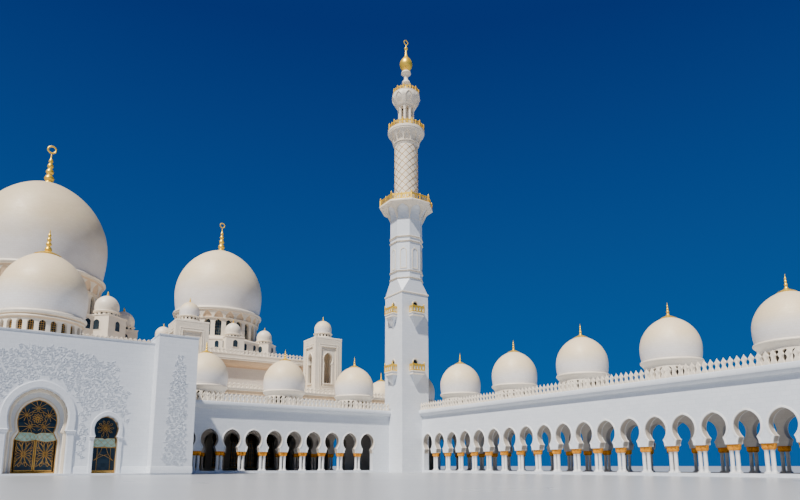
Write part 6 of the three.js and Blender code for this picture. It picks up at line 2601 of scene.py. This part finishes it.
    def build(self) -> None:
        """Builds and dresses the portal's pieces."""
        random = np.random.default_rng(self.seed)
        bands = [*self.archivolts(), *self.impost(PORTAL_Y, PORTAL_RECESS.foot - 0.02, 4.9, 5.95, 0.8)]
        for centre in self.side_centres():
            bands += self.impost(centre, SIDE_RECESS.foot - 0.02, 2.3, 5.32, 0.6)
        piece("portal_archivolts", bands, WALL_STONE)
        # The reveals' darker warm stone is painted shade of the recesses.
        piece("portal_reveals", self.reveals(), SHADED_REVEAL_STONE)
        piece("portal_inner_order", self.inner_order(), TRIM_STONE)
        piece("portal_plinths", self.plinths(), WALL_STONE)
        piece("portal_screen_frames", [*self.screen_frames(), *self.tympanum(), *self.side_lattice()],
              TRACERY_GOLD)
        piece("portal_coloured_bands", self.bands(), AQUA_GLASS)
        piece("portal_relief", self.facade_relief(random), WALL_STONE, crease=50.0)
        piece("pylon_relief", self.pylon_relief(random), WALL_STONE, crease=50.0)
        for name, side in (("north", 1), ("south", -1)):
            lattice, pane = self.leaf(side)
            piece(f"door_lattice_{name}", lattice, TRACERY_GOLD, body=f"{name}_leaf")
            piece(f"door_pane_{name}", [pane], DARK_GLASS, body=f"{name}_leaf")


# Prayer hall and terrace

ROOF_TOP_HALL = 28.2
HALL_WINDOW = Keyhole(foot=1.35, foot_z=6.4, pinch=1.1, cusp_z=6.9, round=1.5, round_z=8.1, apex_z=10.2)
HALL_WINDOW_FOOT = 0.9
TERRACE_WALL = -12.8


@dataclass
class Hall:
    """Prayer hall: window frames and grilles, the moulding of its roof, merlons and the terrace."""

    pitch: float = 0.95
    merlon_height: float = 1.35

    def walls(self) -> list[tuple[Facade, Array]]:
        """Each windowed wall's face and the runs of its windows' middles.

        Returns:
            The faces and their runs.
        """
        east = WEST_FIRST_ARCH + BAY / 2 + BAY * np.arange(9)
        west = HALL_SOUTH + 9.5 + 12.0 * np.arange(7)
        north = HALL_WEST + 9.0 + 12.0 * np.arange(5)
        return [(facing_east(HALL_EAST), east), (facing_west(HALL_WEST), west),
                (facing_north(HALL_NORTH), north)]

    def frame(self, face: Facade) -> Surface:
        """Moulding round a window at run 0 and the lining of its opening.

        Args:
            face: the wall's face.

        Returns:
            The moulding and its sill.
        """
        section = np.array([[0.04, -WALL + 0.02], [0.04, 0.06], [-0.02, 0.1], [-0.12, 0.1], [-0.15, 0.06],
                            [-0.27, 0.06], [-0.3, -0.02], [-0.04, -0.1], [-0.04, -WALL + 0.02]])
        foot = HALL_WINDOW_FOOT
        sill = slab((-1.75, -0.02, foot - 0.28), (1.75, 0.16, foot + 0.04), 0.03)
        return Surface.join([face.trim(HALL_WINDOW.path(0.0, 8, foot), section), face.place(sill)])

    def grille(self, face: Facade, back: float = -WALL + 0.1) -> Surface:
        """Bars of a window at run 0: uprights, levels and a rosette in its head.

        Args:
            face: the wall's face.
            back: how far the bars' backs stand outwards of the face.

        Returns:
            The bars on the wall.
        """
        foot, head, w = HALL_WINDOW_FOOT, HALL_WINDOW.cusp_z, 0.045
        made = []
        for run in (-0.62, 0.0, 0.62):
            made.append(face.place(slab((run - w, back, foot), (run + w, back + 0.1, head), 0.01)))
        for level in (2.1, 3.3, 4.5, 5.7, head):
            made.append(face.place(slab((-1.33, back, level - w), (1.33, back + 0.09, level + w), 0.01)))
        edge = HALL_WINDOW.path(0.0, 8)
        outline = edge[edge[:, 1] > head]
        for lens in burst((0.0, 8.2), 8, 0.1, 1.2, 0.2, outline, math.pi / 8, 2.0):
            made.append(face.trim(lens, bar(0.075, back + 0.1, back), closed=True))
        rail = slab((-1.35, back - 0.02, foot), (1.35, back + 0.12, foot + 0.3), 0.02)
        return Surface.join([*made, face.place(rail)])

    def spread(self, surface: Surface, face: Facade, runs: Array) -> Surface:
        """Copies of a window's piece along its wall."""
        return surface.repeated(runs[:, None] * np.array([*face.along, 0.0]))

    def roof_edge(self) -> tuple[Surface, list[Surface]]:
        """Moulding round the roof, bead and hollow curve under a banded edge, and its merlons.

        Returns:
            The hollow curve, then the banded edge with its merlons.
        """
        section = np.array([[1.44, 26.7], [1.44, 27.0], [1.5, 27.06], [1.5, 27.26], [1.44, 27.32],
                            [1.44, 27.95], [1.5, 28.0], [1.5, 28.22], [0.5, 28.22], [0.5, 26.7]])
        path = np.array([[HALL_WEST, HALL_SOUTH + 0.02], [HALL_WEST, HALL_NORTH], [HALL_EAST, HALL_NORTH],
                         [HALL_EAST, HALL_SOUTH + 0.02]])
        out = CORNICE_REACH + 0.44
        west, east, north, south = HALL_WEST - out, HALL_EAST + out, HALL_NORTH + out, HALL_SOUTH + 0.2
        turns = ((west, south), (west, north), (east, north), (east, south), (west, south))
        rows = [merlon_row(a, b, ROOF_TOP_HALL, self.pitch, self.merlon_height)
                for a, b in zip(turns[:-1], turns[1:])]
        curve = smooth([[0.1, 25.4], [0.4, 25.5], [0.9, 25.8], [1.25, 26.3], [1.36, 26.72]], 3)
        hollow = np.vstack([[[-0.02, 25.0], [0.08, 25.0], [0.11, 25.1], [0.08, 25.2]], curve,
                            [[-0.02, 26.74]]])
        return sweep(path, hollow), [sweep(path, section), *rows]

    def terrace(self) -> tuple[list[Surface], list[Surface]]:
        """Parapet moulding and merlons on the raised walls behind the west wing and on the north.

        Returns:
            The hollow curves, then the edges with their merlons.
        """
        section = np.array([[-0.02, 17.36], [0.3, 17.36], [0.3, 17.6], [0.34, 17.66], [0.34, 17.92],
                            [-0.02, 17.92]])
        hollow = np.array([[-0.02, 16.5], [0.06, 16.5], [0.12, 16.6], [0.1, 16.68], [0.16, 17.0],
                           [0.28, 17.38], [-0.02, 17.38]])
        east = np.array([[TERRACE_WALL, WEST_BLOCK_END + 0.02], [TERRACE_WALL, GALLERY_DEPTH]])
        north = np.array([[HALL_EAST + 0.1, 0.0], [-GALLERY_DEPTH, 0.0]])
        x = TERRACE_WALL - 0.35
        ends = (((x, WEST_BLOCK_END + 0.3), (x, GALLERY_DEPTH - 0.2)),
                ((HALL_EAST + 0.9, -0.3), (-GALLERY_DEPTH - 0.2, -0.3)))
        rows = [merlon_row(start, end, TERRACE_PARAPET, self.pitch, self.merlon_height)
                for start, end in ends]
        hollows, edges = ([sweep(east, shape * [-1.0, 1.0]), sweep(north, shape)]
                          for shape in (hollow, section))
        return hollows, [*edges, *rows]

    def build(self) -> None:
        """Builds and dresses the hall's pieces. The south wall's windows are blind, on its face."""
        walls = self.walls()
        south, south_runs = facing_south(HALL_SOUTH), walls[-1][1]
        frames = [self.spread(self.frame(face), face, runs) for face, runs in [*walls, (south, south_runs)]]
        grilles = [self.spread(self.grille(face), face, runs) for face, runs in walls]
        blind = south.plate(HALL_WINDOW.path(0.0, 8, HALL_WINDOW_FOOT), 0.02, -0.05)
        piece("hall_window_frames", frames, TRIM_STONE)
        piece("hall_window_grilles", [*grilles, self.spread(self.grille(south, -0.04), south, south_runs)],
              TRACERY_GOLD)
        piece("hall_blind_windows", [self.spread(blind, south, south_runs)], DARK_GLASS)
        hollow, edge = self.roof_edge()
        # The hollow's tan stone is painted shade under the roof's edge.
        piece("hall_cornice_hollow", [hollow], SHADED_HOLLOW_STONE)
        piece("hall_roof_edge", edge, TRIM_STONE)
        hollows, parapets = self.terrace()
        # The hollows' tan stone is painted shade under the parapets.
        piece("terrace_hollows", hollows, SHADED_HOLLOW_STONE)
        piece("terrace_parapets", parapets, TRIM_STONE)


# Pavilion towers

@dataclass
class Towers:
    """The two square towers on the terrace, with keyhole windows and round domes."""

    places: tuple[tuple[float, float], ...] = ((-20.525, -12.075), (-20.525, -44.775))
    half: float = 3.525
    foot: float = 17.0
    top: float = 32.4
    dome: float = 2.15
    dome_top: float = 37.3
    window: Keyhole = Keyhole(foot=1.1, foot_z=25.6, pinch=0.95, cusp_z=25.9, round=1.22, round_z=27.0,
                              apex_z=28.7)
    window_foot: float = 21.1
    panel: tuple[float, float, float] = (2.05, 20.3, 30.1)

    def rim(self) -> float:
        """Height of the dome's rim."""
        return self.dome_top - self.dome * 1.6

    def wall(self) -> Surface:
        """One side of the hollow tower, facing +X: a recessed panel with a keyhole window.

        The loops run from the wall's edge over the panel's edge, in to the panel's depth, to the
        window and through it, and back to the edge, which is mitred into the corner.

        Returns:
            The side's wall.
        """
        h, thick, depth = self.half, 0.9, 0.25
        window = self.window.path(0.0, 8, self.window_foot)
        centre = (0.0, 25.0)
        edge = boxed(window, centre, (-h, self.foot), (h, self.top - 1.0))
        half, low, high = self.panel
        panel = boxed(window, centre, (-half, low), (half, high))
        mitre = edge * [(h - thick) / h, 1.0]
        loops = [sheet(edge, 0.0), sheet(panel, 0.0), sheet(panel, -depth), sheet(window, -depth),
                 sheet(window, -thick), sheet(mitre, -thick)]
        return facing_east(h).place(loft(np.stack(loops), ring=True))

    def side(self) -> Surface:
        """One side's mouldings, on the face to +X.

        Returns:
            The side's mouldings.
        """
        face = facing_east(self.half)
        section = np.array([[0.03, -0.6], [0.03, -0.18], [-0.02, -0.13], [-0.16, -0.13], [-0.2, -0.18],
                            [-0.2, -0.27], [-0.03, -0.3]])
        made = [face.trim(self.window.path(0.0, 8, self.window_foot), section)]
        frames = ((*self.panel, 0.05, 0.07), (2.5, 19.8, 30.65, 0.06, 0.06))
        for half, low, high, inward, outward in frames:
            path = np.array([[half, low], [half, high], [-half, high], [-half, low]])
            shape = np.array([[inward, -0.02], [inward, outward - 0.02], [inward - 0.02, outward],
                              [-0.1, outward], [-0.13, outward - 0.03], [-0.13, -0.02]])
            made.append(face.trim(path, shape, closed=True))
        made.append(face.place(slab((-1.3, -0.27, 20.85), (1.3, 0.02, 21.12), 0.03)))
        return Surface.join(made)

    def crown(self) -> list[Surface]:
        """Ledge round the top, the drum with its small openings and the rolled collar.

        Returns:
            The mouldings about the Z axis.
        """
        h, r, rim = self.half, self.dome, self.rim()
        square = np.array([[-h, -h], [h, -h], [h, h], [-h, h]])
        ledge = np.array([[0.1, self.top - 0.4], [-0.03, self.top - 0.38], [-0.03, self.top],
                          [0.0, self.top + 0.04], [0.5, self.top + 0.04]])
        foot = np.array([[0.1, 17.0], [-0.12, 17.0], [-0.12, 17.5], [-0.05, 17.6], [0.1, 17.6]])
        step = np.array([[0.8, 0.0], [1.16, 0.0], [1.16, 0.42], [1.11, 0.55], [1.02, 0.6], [0.8, 0.6]])
        drum = lathe(step * [r, 1.0] + [0.0, self.top], 40, ring=True)
        ring = arched_ring(r, 16, self.top + 0.55, rim - 0.12, 0.5, 0.0, -0.25, 0.1)
        roll = smooth([[0.99, -0.25], [1.06, -0.16], [1.1, -0.05], [1.09, 0.05], [1.02, 0.12], [0.95, 0.12]],
                      3)
        collar = np.vstack([roll, [[0.8, 0.0], [0.8, -0.25]]]) * [r, 1.0] + [0.0, rim]
        return [sweep(square, ledge, closed=True), sweep(square, foot, closed=True), drum, ring,
                lathe(collar, 40, ring=True)]

    def build(self) -> None:
        """Builds and dresses both towers' pieces."""
        spots = np.array([[x, y, 0.0] for x, y in self.places])
        h = self.half
        lid = slab((-h, -h, self.top - 1.0), (h, h, self.top), 0.02)
        walls = Surface.join([self.wall().around(4), lid])
        piece("tower_walls", [walls.repeated(spots)], TRIM_STONE,
              replaces=["pavilion_tower_1", "pavilion_tower_2"])
        white = Surface.join([self.side().around(4), *self.crown()])
        piece("tower_mouldings", [white.repeated(spots)], TRIM_STONE)
        shape = Dome(0, 0, self.dome, belly=0.35, rim=self.rim(), top=self.dome_top, tip=0, peak=0.1)
        shell = shape.outline(16)
        for number, (x, y) in enumerate(self.places, 1):
            # The mosaic's pale grey low down is painted shade and sky reflection.
            finish = DomeStone(f"tower_dome_mosaic_{number}", (x, y), 0.03, 48, (3.45, 3.65))
            profile = np.vstack([[[0.0, self.rim()]], shell])
            piece(f"tower_dome_{number}", [lathe(profile, 40).moved(x, y)], finish)
        gold = Surface.join(finial(self.dome_top - 0.05, self.dome_top + 1.12, 0.2, sides=14))
        piece("tower_finials", [gold.repeated(spots)], GOLD)


# Studio

@dataclass
class Studio:
    """Floor, light and camera. The camera stands at the photograph's angle."""

    eye: tuple[float, float, float] = (115.34, -77.64, 1.36)
    yaw: float = 33.12
    pitch: float = 9.67
    focal_pixels: float = 610.5
    frame_pixels: float = 800.0
    shift_y: float = 0.14
    sensor: float = 36.0
    sun_bearing: tuple[float, float] = (0.466, -0.885)
    sun_height: float = 55.0
    sun_strength: float = 17.6
    fill_strength: float = 0.1
    low_sky: tuple[float, ...] = (0.005, 0.33, 0.9, 1.0)
    high_sky: tuple[float, ...] = (0.008, 0.115, 0.49, 1.0)
    floor_reach: float = 7000.0

    def floor(self) -> None:
        """A plain pale floor, as a grid so that its mesh isn't one face."""
        count = 9
        side = np.linspace(-self.floor_reach, self.floor_reach, count)
        x, y = np.meshgrid(side, side, indexing="ij")
        index = np.arange(count * count).reshape(count, count)
        quads = np.stack([index[:-1, :-1], index[1:, :-1], index[1:, 1:], index[:-1, 1:]], -1).reshape(-1, 4)
        points = np.column_stack([x.reshape(-1), y.reshape(-1), np.zeros(count * count)])
        mesh = bpy.data.meshes.new("floor")
        mesh.from_pydata(to_frame(points).tolist(), [], quads.tolist())
        mesh.materials.append(Paving().material())
        floor = bpy.data.objects.new("floor", mesh)
        bpy.context.scene.collection.objects.link(floor)

    def lamp(self, name: str, strength: float, spread: float, colour: tuple[float, ...],
             towards: Vector) -> None:
        """A lamp so far off that its rays are parallel.

        Args:
            name: of the lamp.
            strength: of its light on a square metre.
            spread: the angle that it fills, in degrees.
            colour: of its light.
            towards: the way to the lamp.
        """
        light = bpy.data.lights.new(name, "SUN")
        light.energy = strength
        light.angle = math.radians(spread)
        light.color = colour
        lamp = bpy.data.objects.new(name, light)
        lamp.rotation_euler = towards.to_track_quat("Z", "Y").to_euler()
        bpy.context.scene.collection.objects.link(lamp)

    def light(self) -> None:
        """A warm sun high on the south side and a low soft fill from the court."""
        rise = math.radians(self.sun_height)
        to_sun = Vector((*(axis * math.cos(rise) for axis in self.sun_bearing), math.sin(rise)))
        self.lamp("sun", self.sun_strength, 2.0, (1.0, 0.955, 0.885), to_sun)
        self.lamp("fill", self.fill_strength, 50.0, (1.0, 0.88, 0.74), Vector((0.93, -0.36, 0.1)))

    def sky(self) -> None:
        """A blue sky that deepens upwards, and the picture's tones."""
        world = bpy.data.worlds.new("sky")
        world.use_nodes = True
        nodes, links = world.node_tree.nodes, world.node_tree.links
        split = nodes.new("ShaderNodeSeparateXYZ")
        links.new(nodes.new("ShaderNodeTexCoord").outputs["Generated"], split.inputs[0])
        ramp = nodes.new("ShaderNodeValToRGB")
        low, high = ramp.color_ramp.elements
        low.position, low.color = 0.1, self.low_sky
        high.position, high.color = 0.62, self.high_sky
        links.new(split.outputs[2], ramp.inputs[0])
        links.new(ramp.outputs[0], nodes["Background"].inputs["Color"])
        bpy.context.scene.world = world
        bpy.context.scene.view_settings.look = "AgX - Punchy"
        bpy.context.scene.view_settings.gamma = 0.75

    def camera(self) -> None:
        """Camera: its focal length in pixels over the frame's, times the sensor's width, is its lens."""
        lens = bpy.data.cameras.new("camera")
        lens.sensor_width = self.sensor
        lens.lens = self.focal_pixels * self.sensor / self.frame_pixels
        lens.shift_y = self.shift_y
        lens.clip_end = 1000.0
        yaw, pitch = math.radians(self.yaw), math.radians(self.pitch)
        ahead = Vector((-math.cos(yaw) * math.cos(pitch), math.sin(yaw) * math.cos(pitch), math.sin(pitch)))
        camera = bpy.data.objects.new("camera", lens)
        camera.location = to_frame(np.array(self.eye))
        camera.rotation_euler = ahead.to_track_quat("-Z", "Y").to_euler()
        bpy.context.scene.collection.objects.link(camera)
        bpy.context.scene.camera = camera

    def build(self) -> None:
        """Sets the stage."""
        self.floor()
        self.light()
        self.sky()
        self.camera()


def dress_frame() -> None:
    """Gives every CAD node the finish of its slot."""
    finishes = {"white_stone": WALL_STONE, "dome_stone": ROOF_STONE, "gilt": GOLD, "dark_glass": DARK_GLASS,
                "door_bronze": DOOR_METAL}
    slots = {entry["node"]: entry["material_slot"] for entry in frame["record"]["subparts"]}
    for name, node in frame["nodes"].items():
        finish = finishes[slots[name]]
        if finish is WALL_STONE and name.startswith(("hall_", "terrace_")):
            finish = HALL_STONE_AND_BACK_SHADE
        node.data.materials.clear()
        node.data.materials.append(finish.material())


def main() -> None:
    """Builds every sub-assembly in order."""
    logging.basicConfig(level=logging.INFO, format="%(message)s")
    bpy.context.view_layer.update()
    dress_frame()
    Studio().build()
    for assembly in (GalleryDomes(), Galleries(), *GREAT_DOMES, Minaret(), Portal(), Hall(), Towers()):
        assembly.build()
        LOG.info("built %s", type(assembly).__name__)


if __name__ == "__main__":
    main()
